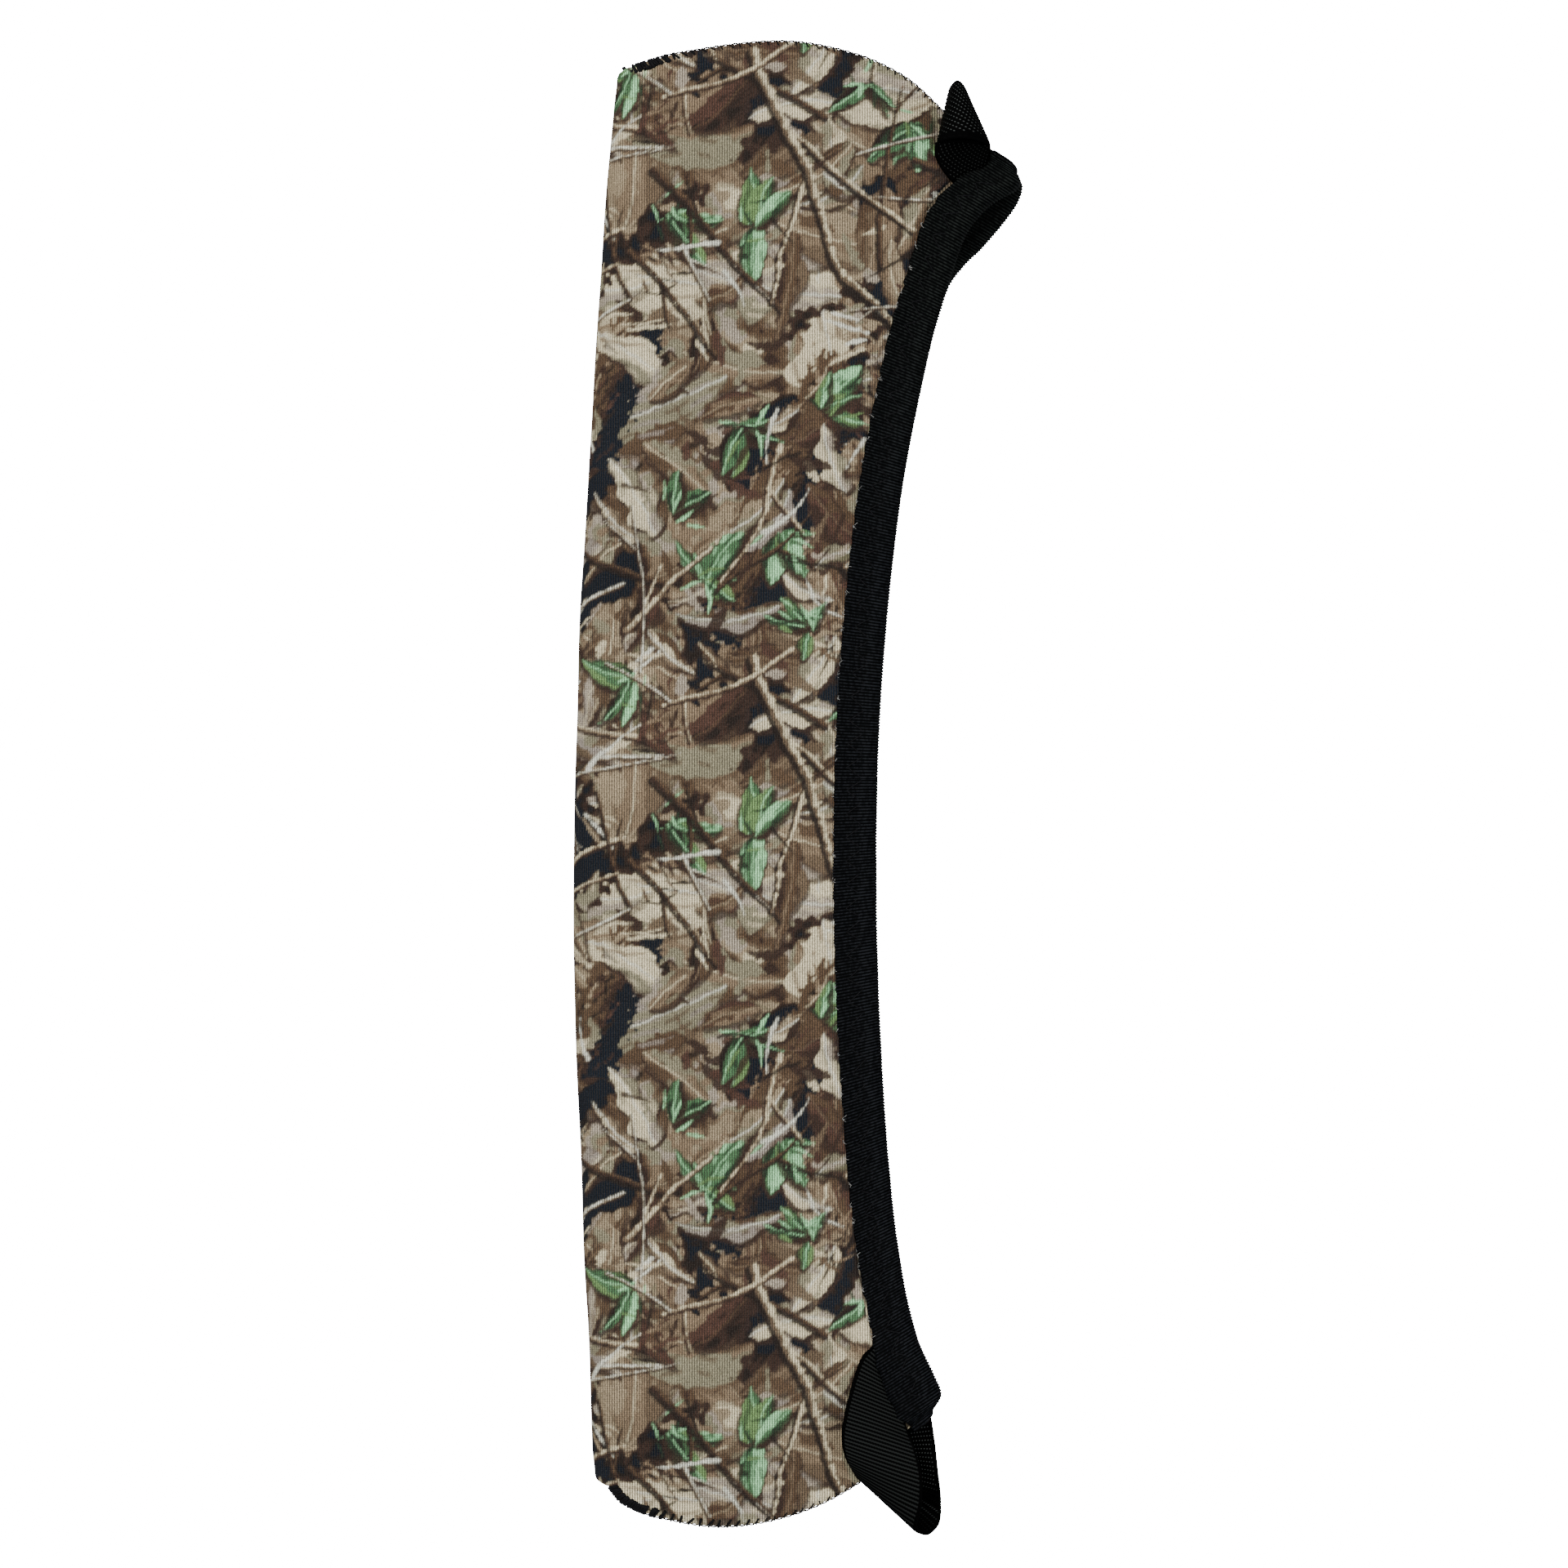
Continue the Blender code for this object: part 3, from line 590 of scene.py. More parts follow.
def paint():
    """The whole tile as rows of linear colours."""
    cloth = Print(PRINT_SEED)
    rng, pick, spot = cloth.rng, cloth.pick, cloth.spot

    def choose(tones):
        return tones[rng.integers(len(tones))]

    cloth.ground()
    for _ in range(100):
        length = pick(18.0, 44.0)
        cloth.leaf(*spot(), length, length * pick(0.35, 0.6), pick(0.0, TAU), choose(DRY), pick(-0.4, 0.4),
                   int(rng.choice((0, 0, 0, 2, 3))), pick(0.3, 0.9), 0.4, choose(("bark", "umber", "dark")))
    shade = field(rng, 11.0, 1.9, math.radians(42.0)) + 0.20 * cloth.rough
    cloth.flood(soft(shade - 0.98, 0.05), "umber")
    cloth.flood(soft(shade - 1.22, 0.05), "dark")
    cloth.flood(soft(shade - 1.50, 0.05), "navy")
    for _ in range(6):
        cloth.trunk(*spot(), math.radians(pick(28.0, 60.0)), pick(34.0, 60.0), pick(8.0, 13.0))
    for _ in range(46):
        length = pick(12.0, 30.0)
        cloth.leaf(*spot(), length, length * pick(0.3, 0.5), pick(0.0, TAU), choose(BROWN), pick(-0.6, 0.6),
                   int(rng.choice((0, 0, 2, 3))), 0.8, 0.4)
    gloom = field(rng, 9.0, 1.6, math.radians(35.0)) + 0.2 * cloth.rough
    cloth.flood(soft(gloom - 1.70, 0.06), "dark")
    cloth.flood(soft(gloom - 1.86, 0.06), "navy")
    for _ in range(90):
        length = pick(9.0, 26.0)
        cloth.leaf(*spot(), length, length * pick(0.22, 0.5), pick(0.0, TAU), choose(DRY), pick(-0.6, 0.6),
                   int(rng.choice((0, 0, 0, 2, 3))), 0.9, 0.35)
    for _ in range(190):
        points = cloth.wander(*spot(), pick(0.0, TAU), pick(4.0, 12.0), 0.35)
        widths = np.sin(np.linspace(0.25, math.pi - 0.1, len(points))) * pick(1.0, 3.4)
        cloth.stroke(points, widths, choose(CHIPS), 0.95, ragged=0.25)
    for _ in range(18):
        cloth.tuft(*spot(), pick(0.0, TAU), 16, 6.0, ("umber", "dark", "rust", "bark", "tan"))
    for _ in range(22):
        cloth.tuft(*spot(), pick(0.0, TAU), 5, 9.0, ("cream", "light", "sand"), 0.25, 2.0, 1.0)
    for _ in range(20):
        u, v = spot()
        angle = pick(0.0, TAU)
        for _ in range(rng.integers(3, 7)):
            turn = angle + rng.normal(0.0, 0.8)
            length = pick(7.0, 15.0)
            cloth.leaf(u + math.cos(turn) * length * 0.5, v + math.sin(turn) * length * 0.5, length,
                       length * pick(0.25, 0.5), turn, choose(GREEN), pick(-0.4, 0.4), 0, 0.9, 0.4)
        cloth.tuft(u, v, angle, 5, 6.0, ("mint", "fern", "mint", "moss"), 0.8, 2.2, 0.9)
    for _ in range(16):
        cloth.twig(*spot(), rng.choice((-0.75, 0.8, 2.2)) + pick(-0.5, 0.5), pick(22.0, 50.0), pick(0.8, 1.5),
                   "umber", "bark", "dark")
    for _ in range(4):
        cloth.twig(*spot(), -0.8 + pick(-0.3, 0.3), pick(60.0, 90.0), pick(2.0, 2.8), "mid", "light", "dark",
                   forks=2, sway=0.16)
    for _ in range(12):
        cloth.twig(*spot(), pick(0.0, TAU), pick(24.0, 48.0), pick(1.0, 1.5), "tan", "light", "umber")
    for _ in range(30):
        cloth.twig(*spot(), pick(0.0, TAU), pick(14.0, 42.0), pick(0.45, 0.8), "sand", "cream", "umber",
                   forks=int(rng.choice((0, 1))), sway=0.08)
    for _ in range(36):
        points = cloth.wander(*spot(), pick(0.0, TAU), pick(6.0, 16.0), 0.18)
        widths = np.linspace(1.1, 0.2, len(points))
        cloth.stroke(points, widths, choose(("dark", "umber", "dark", "cream")), 0.9)
    tone = 1.0 + 0.05 * cloth.fine + 0.04 * cloth.broad
    return np.clip(cloth.dye * tone[..., None], 0.0, 1.0)


def print_colours(dye, cloth):
    """Dye at points of the unfolded cloth, blended between the tile's dots."""
    u = np.mod(cloth[:, 0] + TILE_U / 2.0, TILE_U) / DOT
    v = np.mod(cloth[:, 1], TILE_V) / DOT
    col = np.floor(u).astype(int)
    row = np.floor(v).astype(int)
    wu = (u - col)[:, None]
    wv = (v - row)[:, None]
    rows = (row % ROWS, (row + 1) % ROWS)
    cols = (col % COLS, (col + 1) % COLS)
    low = dye[rows[0], cols[0]] * (1 - wu) + dye[rows[0], cols[1]] * wu
    high = dye[rows[1], cols[0]] * (1 - wu) + dye[rows[1], cols[1]] * wu
    return low * (1 - wv) + high * wv


# ---------------------------------------------------------------- materials
class Look:
    """A small helper for building one material's nodes."""

    def __init__(self, name, colour, roughness, **constants):
        self.material = bpy.data.materials.new(name)
        self.material.use_nodes = True
        self.tree = self.material.node_tree
        self.shader = self.tree.nodes["Principled BSDF"]
        self.shader.inputs["Base Color"].default_value = (*colour, 1.0)
        self.shader.inputs["Roughness"].default_value = roughness
        for socket, value in constants.items():
            self.shader.inputs[socket.replace("_", " ")].default_value = value

    def put(self, socket, value):
        if hasattr(value, "links"):
            self.tree.links.new(value, socket)
        else:
            socket.default_value = value

    def node(self, kind, values=(), **settings):
        """A new node with its settings. values pairs its inputs with numbers or with other nodes' outputs."""
        node = self.tree.nodes.new("ShaderNode" + kind)
        for setting, choice in settings.items():
            setattr(node, setting, choice)
        for socket, value in values:
            self.put(node.inputs[socket], value)
        return node

    def attribute(self, name, output="Vector"):
        return self.node("Attribute", attribute_name=name).outputs[output]

    def place(self):
        return self.node("TexCoord").outputs["Object"]

    def facing_up(self):
        return self.split(self.node("NewGeometry").outputs["Normal"])[2]

    def split(self, vector):
        return self.node("SeparateXYZ", [(0, vector)]).outputs

    def maths(self, operation, a, b=0.0):
        return self.node("Math", enumerate((a, b)), operation=operation).outputs[0]

    def times(self, a, b):
        return self.maths("MULTIPLY", a, b)

    def noise(self, vector, factors, detail=2.0):
        """Noise with its own number of grains for each unit of the vector's three axes."""
        stretched = self.node("VectorMath", enumerate((vector, factors)), operation="MULTIPLY").outputs[0]
        values = (("Vector", stretched), ("Scale", 1.0), ("Detail", detail))
        return self.node("TexNoise", values).outputs["Fac"]

    def remap(self, value, low, high, to_low=0.0, to_high=1.0):
        return self.node("MapRange", enumerate((value, low, high, to_low, to_high))).outputs[0]

    def blend(self, amount, a, b, kind="MIX"):
        a, b = [(*part, 1.0) if isinstance(part, tuple) else part for part in (a, b)]
        values = ((0, amount), (6, a), (7, b))
        return self.node("Mix", values, data_type="RGBA", blend_type=kind).outputs[2]

    def colour(self, value):
        self.put(self.shader.inputs["Base Color"], value)

    def roughness(self, value):
        self.put(self.shader.inputs["Roughness"], value)

    def bump(self, value, distance, strength):
        values = (("Strength", strength), ("Distance", distance), ("Height", value))
        self.put(self.shader.inputs["Normal"], self.node("Bump", values).outputs[0])


def knit_relief(look, cloth):
    """Height of a warp knit, lowest in the grooves between its wales, and the groove alone, 0 to 1."""
    u, v = look.split(cloth)[0:2]
    wale = look.times(u, math.pi / WALE)
    groove = look.maths("POWER", look.maths("ABSOLUTE", look.maths("COSINE", wale)), 3.5)
    lean = look.times(look.maths("ABSOLUTE", look.maths("SINE", wale)), 0.9)
    loops = look.maths("SINE", look.maths("ADD", look.times(v, TAU / COURSE), lean))
    relief = look.maths("SUBTRACT", look.times(loops, 0.22), groove)
    return relief, groove


def camo_look():
    look = Look("printed_knit", (0.17, 0.14, 0.095), 0.92, Specular_IOR_Level=0.05)
    cloth = look.attribute("cloth")
    relief, groove = knit_relief(look, cloth)
    dye = look.attribute("dye", "Color")
    speck = look.remap(look.noise(cloth, (3.2, 2.2, 1.0), 1.0), 0.3, 0.7, 0.64, 1.36)
    # The grooves between the wales: painted shade that darkens the light print, and in the dark print a
    # lighter grey, as undyed yarn grinning through.
    groove_shade_and_grin = look.blend(look.times(groove, 0.78), dye, (0.030, 0.026, 0.023))
    worn = look.remap(look.noise(cloth, (0.03, 0.03, 1.0), 3.0), 0.35, 0.7, 0.96, 1.06)
    look.colour(look.blend(1.0, groove_shade_and_grin, look.times(speck, worn), "MULTIPLY"))
    look.bump(relief, 0.00016, 0.9)
    return look.material


def lining_look():
    look = Look("black_knit_lining", (0.008, 0.008, 0.009), 0.9, Specular_IOR_Level=0.08)
    relief, groove = knit_relief(look, look.attribute("cloth"))
    # Painted shade: the grooves between the wales darker.
    look.colour(look.blend(look.times(groove, 0.6), (0.010, 0.010, 0.011), (0.003, 0.003, 0.003)))
    look.bump(relief, 0.00012, 0.8)
    return look.material


def foam_look():
    look = Look("neoprene_foam", (0.30, 0.30, 0.31), 0.95, Specular_IOR_Level=0.2)
    cells = look.noise(look.place(), (6000.0, 6000.0, 6000.0))
    look.colour(look.blend(look.remap(cells, 0.35, 0.65), (0.22, 0.22, 0.235), (0.38, 0.38, 0.39)))
    look.bump(cells, 0.0001, 0.6)
    return look.material


def elastic_look():
    look = Look("ribbed_elastic", (0.004, 0.004, 0.005), 0.8, Specular_IOR_Level=0.03)
    place = look.place()
    wave, _, rim = look.split(look.attribute("rib"))
    fibre = look.noise(place, (2500.0, 9000.0, 2500.0))
    patch = look.noise(place, (260.0, 260.0, 260.0), 3.0)
    beads = look.noise(place, (1500.0, 700.0, 900.0), 1.0)
    lighter = look.times(look.remap(fibre, 0.4, 0.75), look.remap(patch, 0.4, 0.7, 0.3, 1.0))
    # Painted highlight and shade: the ribs' crests lit, their grooves near black.
    rib_crest_highlight = look.times(look.remap(wave, 0.35, 0.85), look.remap(beads, 0.4, 0.62, 0.45, 1.5))
    # Lighter fibre flecks in the yarn, times a painted highlight on the rolled rim.
    flecks_and_rim_highlight = look.times(look.remap(lighter, 0.0, 1.0, 0.45, 1.5), look.remap(rim, 0.0, 1.0, 1.0, 1.7))
    upper = look.remap(look.split(place)[1], 0.05, 0.12)
    yarn = look.blend(upper, (0.0116, 0.0127, 0.0151), (0.0120, 0.0141, 0.0130))
    look.colour(look.blend(look.times(rib_crest_highlight, flecks_and_rim_highlight), (0.0004, 0.0005, 0.0006), yarn))
    look.roughness(look.remap(patch, 0.3, 0.7, 0.6, 0.85))
    look.bump(fibre, 0.00006, 0.6)
    return look.material


def webbing_look():
    look = Look("polyester_webbing", (0.010, 0.011, 0.011), 0.6, Specular_IOR_Level=0.02)
    weave = look.attribute("weave")
    yarn = look.split(weave)[2]
    # Painted light: yarn that faces up is lighter and tilted yarn darker, as if lit from above.
    lit = look.remap(look.facing_up(), 0.55, 0.97, 0.12, 1.0)
    hair = look.noise(weave, (3.0, 12.0, 0.0))
    # Painted highlight: the weave's crests and beads show light grey on the black yarn, its hollows black.
    bead = look.times(look.remap(yarn, 0.62, 0.92), lit)
    yarn_with_painted_sheen = look.blend(bead, (0.0001, 0.0001, 0.0001), (0.0205, 0.0227, 0.0216))
    # The shade attribute multiplies in the painted sheen and shade set for each stretch.
    look.colour(look.blend(1.0, yarn_with_painted_sheen, look.attribute("shade"), "MULTIPLY"))
    look.roughness(look.remap(hair, 0.3, 0.7, 0.5, 0.75))
    look.bump(hair, 0.00006, 0.5)
    return look.material


def thread_look(name, colour, roughness):
    look = Look(name, colour, roughness, Specular_IOR_Level=0.08)
    twist = look.noise(look.place(), (9000.0, 9000.0, 9000.0))
    dark = tuple(0.5 * part for part in colour)
    look.colour(look.blend(look.remap(twist, 0.35, 0.65), dark, colour))
    look.bump(twist, 0.00005, 0.6)
    return look.material


# ---------------------------------------------------------------- the laminate
def multiple(count, step):
    """The count rounded up to a multiple of the step."""
    return int(math.ceil(count / step) * step)


ROW_SKIP = 12               # the hidden face of a ply has every twelfth row and column only
COL_SKIP = 12
CROWD = 0.7                 # rows lie this much closer at a sewn end
CROWD_REACH = 3.0
BESIDE_FROM = 3.0           # columns beside the binding's inner edge, from outside it to under it
BESIDE_TO = -1.0
BESIDE_COLUMNS = 8
UNDER_COLUMNS = 4           # columns on under the binding to the cloth's own edge
FLAT_MARGIN = 13.0          # binding and margin that the even columns leave out of the count
TUCK = 0.78                 # the elastic presses the face in this deep
TUCK_FROM = 0.9
TUCK_OVER = 1.1
PLY_CLEARANCE = 0.02        # between two plies
FOAM_LEAST = 0.3


def ply_rows(first, last, spacing, skip):
    """Row shares between two shares of the length, closer together towards a sewn end."""
    length = (last - first) * COVER_LENGTH
    even = np.linspace(0.0, 1.0, multiple(length / spacing, skip) + 1)
    reach = CROWD_REACH / length
    drawn = even
    if first == 0.0:
        drawn = drawn - CROWD * reach * (1.0 - np.exp(-even / reach))
    if last == 1.0:
        drawn = drawn - CROWD * reach * (np.exp((even - 1.0) / reach) - math.exp(-1.0 / reach))
    return mix(first, last, drawn / drawn[-1])


def ply_columns(side, s, spacing, skip):
    """Insets from the mouth edge to the fold, as shares t, for every row."""
    row = row_length(side, s)[:, None]
    width = binding_width(s)[:, None]
    flat = 1.0 - (width + BESIDE_FROM) / row
    count = multiple(float(row.max() - FLAT_MARGIN) / spacing, skip) - BESIDE_COLUMNS - UNDER_COLUMNS
    main = flat * np.linspace(0.0, 1.0, count + 1)[None, :]
    beside = np.linspace(BESIDE_FROM, BESIDE_TO, BESIDE_COLUMNS + 1)[None, 1:]
    near = 1.0 - (width + beside) / row
    under = np.linspace(0.0, 1.0, UNDER_COLUMNS + 1)[None, 1:]
    under = 1.0 - mix(width + BESIDE_TO, EDGE_INSET, under) / row
    return np.concatenate([main, near, under], axis=1)


def face_depth(side, s, t):
    """Depth of the printed face below the layer's full thickness, and its place on the cloth."""
    place = plan(side, s, t)
    row = row_length(side, s)
    inset = (1.0 - t) * row
    width = binding_width(s)
    tuck = TUCK * ease((width + TUCK_FROM - inset) / TUCK_OVER)
    depth = np.maximum(tuck, end_press(s))
    puff = surface_puff(s, t * row, inset, place[..., 0], place[..., 1])
    return place, depth - puff * ease((inset - width) / 1.5)


def ply_grid(side, s, t, ply):
    """Outer and inner points of one ply, with cloth coordinates. The front starts with the fold's turn."""
    s = s[:, None] + 0.0 * t
    place, depth = face_depth(side, s, t)
    level = height(s, t)
    outer, inner = ply_levels(depth, ply)
    cloth = np.stack([place[..., 0], place[..., 1], 0.0 * s], -1)
    grids = []
    for deep in (outer, inner):
        z = deep if side == "back" else level - deep
        grids.append(np.stack([place[..., 0], place[..., 1], z], -1))
    if side == "back":
        fold = fold_point(s[:, :1])[..., 0]
        cloth[..., 0] = 2.0 * fold - cloth[..., 0] - math.pi * level[:, :1] / 2.0
    else:
        turn_grids, turn_cloth = fold_turn(s[:, :1], ply)
        grids = [np.concatenate([turn, flat], axis=1) for turn, flat in zip(turn_grids, grids)]
        cloth = np.concatenate([turn_cloth, cloth], axis=1)
    return grids[0], grids[1], cloth


def ply_levels(depth, ply):
    """Depths of a ply's two faces where the printed face is at a depth."""
    foam_end = LAMINATE - LINING
    if ply == "face":
        return depth, depth + FACE
    if ply == "foam":
        return np.minimum(depth + FACE + PLY_CLEARANCE, foam_end - FOAM_LEAST), foam_end + 0.0 * depth
    return foam_end + PLY_CLEARANCE + 0.0 * depth, LAMINATE + 0.0 * depth


def fold_turn(s, ply):
    """The half ring where the laminate turns round the fold, from bottom to top."""
    angle = math.pi * np.arange(RING_STEPS)[None, :] / RING_STEPS
    s, angle = np.broadcast_arrays(s, angle)
    centre = fold_point(s)
    middle = height(s, 0.0) / 2.0
    from_end = end_distance(s)
    puff = swell(centre[..., 0] - 6.0 * angle, centre[..., 1]) * ease(from_end / SWELL_FADE) * np.sin(angle)
    outer, inner = ply_levels(end_press(s) * (1.0 - FOLD_FIRM * np.sin(angle)) - puff, ply)
    if ply == "foam":
        inner = inner - FOLD_THIN - FOLD_TAPER * (1.0 - ease(angle / FOLD_TAPER_TO))
    cut = CORNER_CUT * (1.0 - ease(from_end / CORNER_REACH)) * np.sin(angle) ** 2
    cut = cut * np.where(s < 0.5, -1.0, 1.0)
    grids = []
    for depth in (outer, inner):
        radius = middle - depth
        grids.append(np.stack([centre[..., 0] - radius * np.sin(angle), centre[..., 1] + cut,
                               middle - radius * np.cos(angle)], -1))
    arc = (math.pi - angle) * middle
    return grids, np.stack([centre[..., 0] - arc, centre[..., 1], 0.0 * arc], -1)


def ply_piece(name, side, ply, first, last, look, dye, spacing):
    """One ply of the front (with the fold) or of the back as a closed sheet."""
    s = ply_rows(first, last, spacing, ROW_SKIP)
    t = ply_columns(side, s, spacing, COL_SKIP)
    outer, inner, cloth = ply_grid(side, s, t, ply)
    if (outer.shape[1] - 1) % COL_SKIP:
        raise ValueError(f"{name}: {outer.shape[1]} columns")
    if ply == "lining":
        outer, inner = inner, outer
    piece = closed_sheet(name, outer, inner[::ROW_SKIP, ::COL_SKIP], (ROW_SKIP, COL_SKIP), look)
    cloth = both_faces(cloth, cloth[::ROW_SKIP, ::COL_SKIP])
    vector_attribute(piece, "cloth", cloth)
    if ply == "face":
        colour_attribute(piece, "dye", print_colours(dye, cloth))
    width = np.linalg.norm(np.diff(outer, axis=1), axis=-1).sum(axis=1).max()
    keep_flat_size(piece, width, (last - first) * CLOTH_LENGTH, outer)
    return piece


# ---------------------------------------------------------------- the elastic binding
BINDING_SKIP = 16           # the hidden face of the binding has every sixteenth row only


def binding_stations():
    """Across the binding: shares of its outer width, then angles round its turn, then shares inside."""
    stations = [("outer", share) for share in np.linspace(1.0, 0.0, 22)[:-1]]
    stations += [("turn", angle) for angle in np.linspace(0.0, math.pi, 14)]
    stations += [("inner", share) for share in np.linspace(0.0, 1.0, 10)[1:]]
    return stations


def section_point(kind, value, thickness, width):
    """Inset from the mouth edge and depth of one station. Round the turn it lies a thickness further in."""
    flat = 0.0 * width
    radius = BINDING_TURN - thickness
    if kind == "outer":
        return BINDING_TURN + (width - BINDING_TURN) * value, flat
    if kind == "turn":
        return BINDING_TURN - radius * math.sin(value) + flat, BINDING_TURN - radius * math.cos(value) + flat
    return BINDING_TURN + (BINDING_INSIDE - BINDING_TURN) * value + flat, 2.0 * BINDING_TURN + flat


def section_relief(kind, value, wave, along, end_taper):
    """How far one station's outer face stands out: its ribs, the stitches' pull and the thin inner edge."""
    edge, shape = 0.0, 0.0
    if kind == "outer":
        edge = 0.38 * ease((value - 0.90) / 0.10)
        stitched = math.exp(-((value - 0.62) / 0.13) ** 2)
        shape = -0.26 * stitched + 0.10 * math.sin(math.pi * min(1.0, value / 0.45))
        shape = shape - 0.14 * stitched * np.cos(TAU * along / BAND_PUCKER_PITCH)
    bead = 1.35 if kind == "turn" else 0.85
    return shape - edge + RIB_HEIGHT * bead * (wave - 0.5) * end_taper


def rim_share(kind, value):
    """1 on the rolled rim of the binding, 0 on its flat parts. The elastic's material paints a highlight on
    the rim by it.
    """
    if kind == "turn":
        return 1.0
    return float(ease((0.30 - value) / 0.15)) if kind == "outer" else 0.0


def rounded_end(s, mouth, inward, along, lift, turn, out, end, rows):
    """More rows past a sewn end of the binding, which step out and curve down by their turn."""
    angles = np.linspace(0.0, math.pi / 2.0, rows + 1)[1:]
    outward = np.array((inward[end][1], -inward[end][0]))
    towards_middle = mouth[8] - mouth[0] if end == 0 else mouth[-9] - mouth[-1]
    if outward @ towards_middle > 0.0:
        outward = -outward
    reach = LIP_ROUND * np.sin(angles)
    more = [np.full(rows, s[end]), np.repeat(mouth[end][None], rows, axis=0),
            np.repeat(inward[end][None], rows, axis=0), along[end] + (reach if end else -reach),
            np.full(rows, lift[end]), angles, np.repeat(outward[None], rows, axis=0)]
    held = [s, mouth, inward, along, lift, turn, out]
    if end == 0:
        return [np.concatenate([extra[::-1], old]) for extra, old in zip(more, held)]
    return [np.concatenate([old, extra]) for extra, old in zip(more, held)]


def mouth_and_inward(side, s):
    """The mouth edge at s and the direction from it across the layer."""
    mouth = plan(side, s, 1.0)
    inward = plan(side, s, 0.9) - mouth
    return mouth, inward / np.linalg.norm(inward, axis=-1)[..., None]


def binding_piece(name, side, first, last, look):
    """Fold-over elastic with its cross ribs as real relief."""
    run = (last - first) * COVER_LENGTH
    count = multiple(run / RIB * RIB_ROWS, BINDING_SKIP)
    s = np.linspace(first, last, count + 1)
    mouth, inward = mouth_and_inward(side, s)
    steps = np.linalg.norm(np.diff(mouth, axis=0), axis=-1)
    along = np.concatenate([[0.0], np.cumsum(steps)])
    lift = lip_lift(s) if side == "front" else 0.0 * s
    turn, out = 0.0 * s, 0.0 * mouth
    for sewn, end in ((first == 0.0, 0), (last == 1.0, -1)):
        if sewn:
            s, mouth, inward, along, lift, turn, out = rounded_end(
                s, mouth, inward, along, lift, turn, out, end, BINDING_SKIP)
    drop = LIP_ROUND * (1.0 - np.cos(turn))
    row = row_length(side, s)
    width = binding_width(s) + scallop(s)
    wave = 0.5 + 0.5 * np.cos(TAU * (along / RIB + 0.12 * np.sin(along / 3.1)))
    end_taper = ease(np.minimum(along - along[0], along[-1] - along) / 0.5 + 0.6)
    grids = {0: [], 1: []}
    for kind, value in binding_stations():
        for which, thickness in ((0, 0.0), (1, BINDING)):
            inset, depth = section_point(kind, value, thickness, width)
            shape = 0.0 if which else section_relief(kind, value, wave, along, end_taper)
            if kind == "turn":
                inset = inset - shape * math.sin(value)
                depth = depth - shape * math.cos(value)
            elif kind == "outer":
                depth = depth - shape + thickness
            else:
                depth = depth + shape - thickness
            raised = {"outer": 1.0, "turn": 0.5 + 0.5 * math.cos(value), "inner": 0.0}[kind]
            depth = depth + (drop - lift) * raised
            corner = np.sqrt(1.0 - np.clip(1.0 - inset / LIP_CORNER, 0.0, 1.0) ** 2)
            place = mouth + inward * inset[:, None] + out * (LIP_ROUND * np.sin(turn) * corner)[:, None]
            z = depth if side == "back" else height(s, 1.0 - inset / row) - depth
            grids[which].append(np.stack([place[:, 0], place[:, 1], z], -1))
    outer = np.stack(grids[0], axis=1)
    inner = np.stack(grids[1], axis=1)
    piece = closed_sheet(name, outer, inner[::BINDING_SKIP], (BINDING_SKIP, 1), look, 75.0)
    ribs = np.repeat(np.stack([wave, along, 0.0 * s], -1)[:, None], outer.shape[1], axis=1)
    ribs[..., 2] = np.array([rim_share(kind, value) for kind, value in binding_stations()])[None, :]
    vector_attribute(piece, "rib", both_faces(ribs, ribs[::BINDING_SKIP]))
    width = BINDING_WIDTH_LOWER + BINDING_INSIDE + math.pi * BINDING_TURN
    keep_flat_size(piece, width, along[-1] - along[0], inner)
    return piece


# ---------------------------------------------------------------- stitching and lint
ZIGZAG_IN = 3.4             # insets of the zigzag's corners from the mouth edge
ZIGZAG_OUT = 7.2
ZIGZAG_THREAD = 0.16        # radius of its thread
ZIGZAG_BITE = 0.42          # how deep a stitch dives in at its corners
ZIGZAG_ARCH = 0.52
OVERLOCK_PITCH = 2.2
SEAM_FROM = 0.003           # the overlock's share of a sewn edge
SEAM_TO = 0.97
CHAIN_THREAD = 0.2
TAIL_THREAD = 0.5
LOOSE_TAIL = ((1.5, -0.2, 0.0), (-0.1, -0.5, 2.2), (-1.3, -1.0, 1.8), (-2.3, 0.4, 1.2))


def binding_frame(side, s, inset):
    """A point on the binding's outer face at an inset from the mouth edge."""
    mouth, inward = mouth_and_inward(side, s)
    place = mouth + inward * np.asarray(inset)[..., None]
    level = height(s, 1.0 - inset / row_length(side, s))
    z = 0.0 * level if side == "back" else level + lip_lift(s)
    return place, z


def zigzag_piece(name, side, first, last, look):
    """Zigzag thread, each stitch lifting off the elastic in its middle and diving in at its ends."""
    pitches = round((last - first) * COVER_LENGTH / BAND_PUCKER_PITCH)
    corners = np.arange(2 * pitches + 1)
    s_corner = mix(first, last, corners / (2.0 * pitches))
    inset_corner = np.where(corners % 2, ZIGZAG_OUT, ZIGZAG_IN)
    paths = []
    parts = np.linspace(0.0, 1.0, 9)
    for index in range(len(corners) - 1):
        s = mix(s_corner[index], s_corner[index + 1], parts)
        inset = mix(inset_corner[index], inset_corner[index + 1], parts)
        place, z = binding_frame(side, s, inset)
        lift = -ZIGZAG_BITE + ZIGZAG_ARCH * np.sin(math.pi * parts) ** 0.5
        z = z - lift if side == "back" else z + lift
        paths.append((np.stack([place[:, 0], place[:, 1], z], -1), ZIGZAG_THREAD))
    return threads(name, paths, look)


def edge_frame(s_end, t, inset):
    """A plan point inside a sewn end's edge."""
    place = plan("front", s_end, t)
    ahead = plan("front", s_end, t + 0.01) - plan("front", s_end, t - 0.01)
    inward = np.array((-ahead[1], ahead[0]))
    inward /= np.linalg.norm(inward)
    if inward @ (plan("front", 0.5, 0.5) - place) < 0.0:
        inward = -inward
    return place + inward * inset


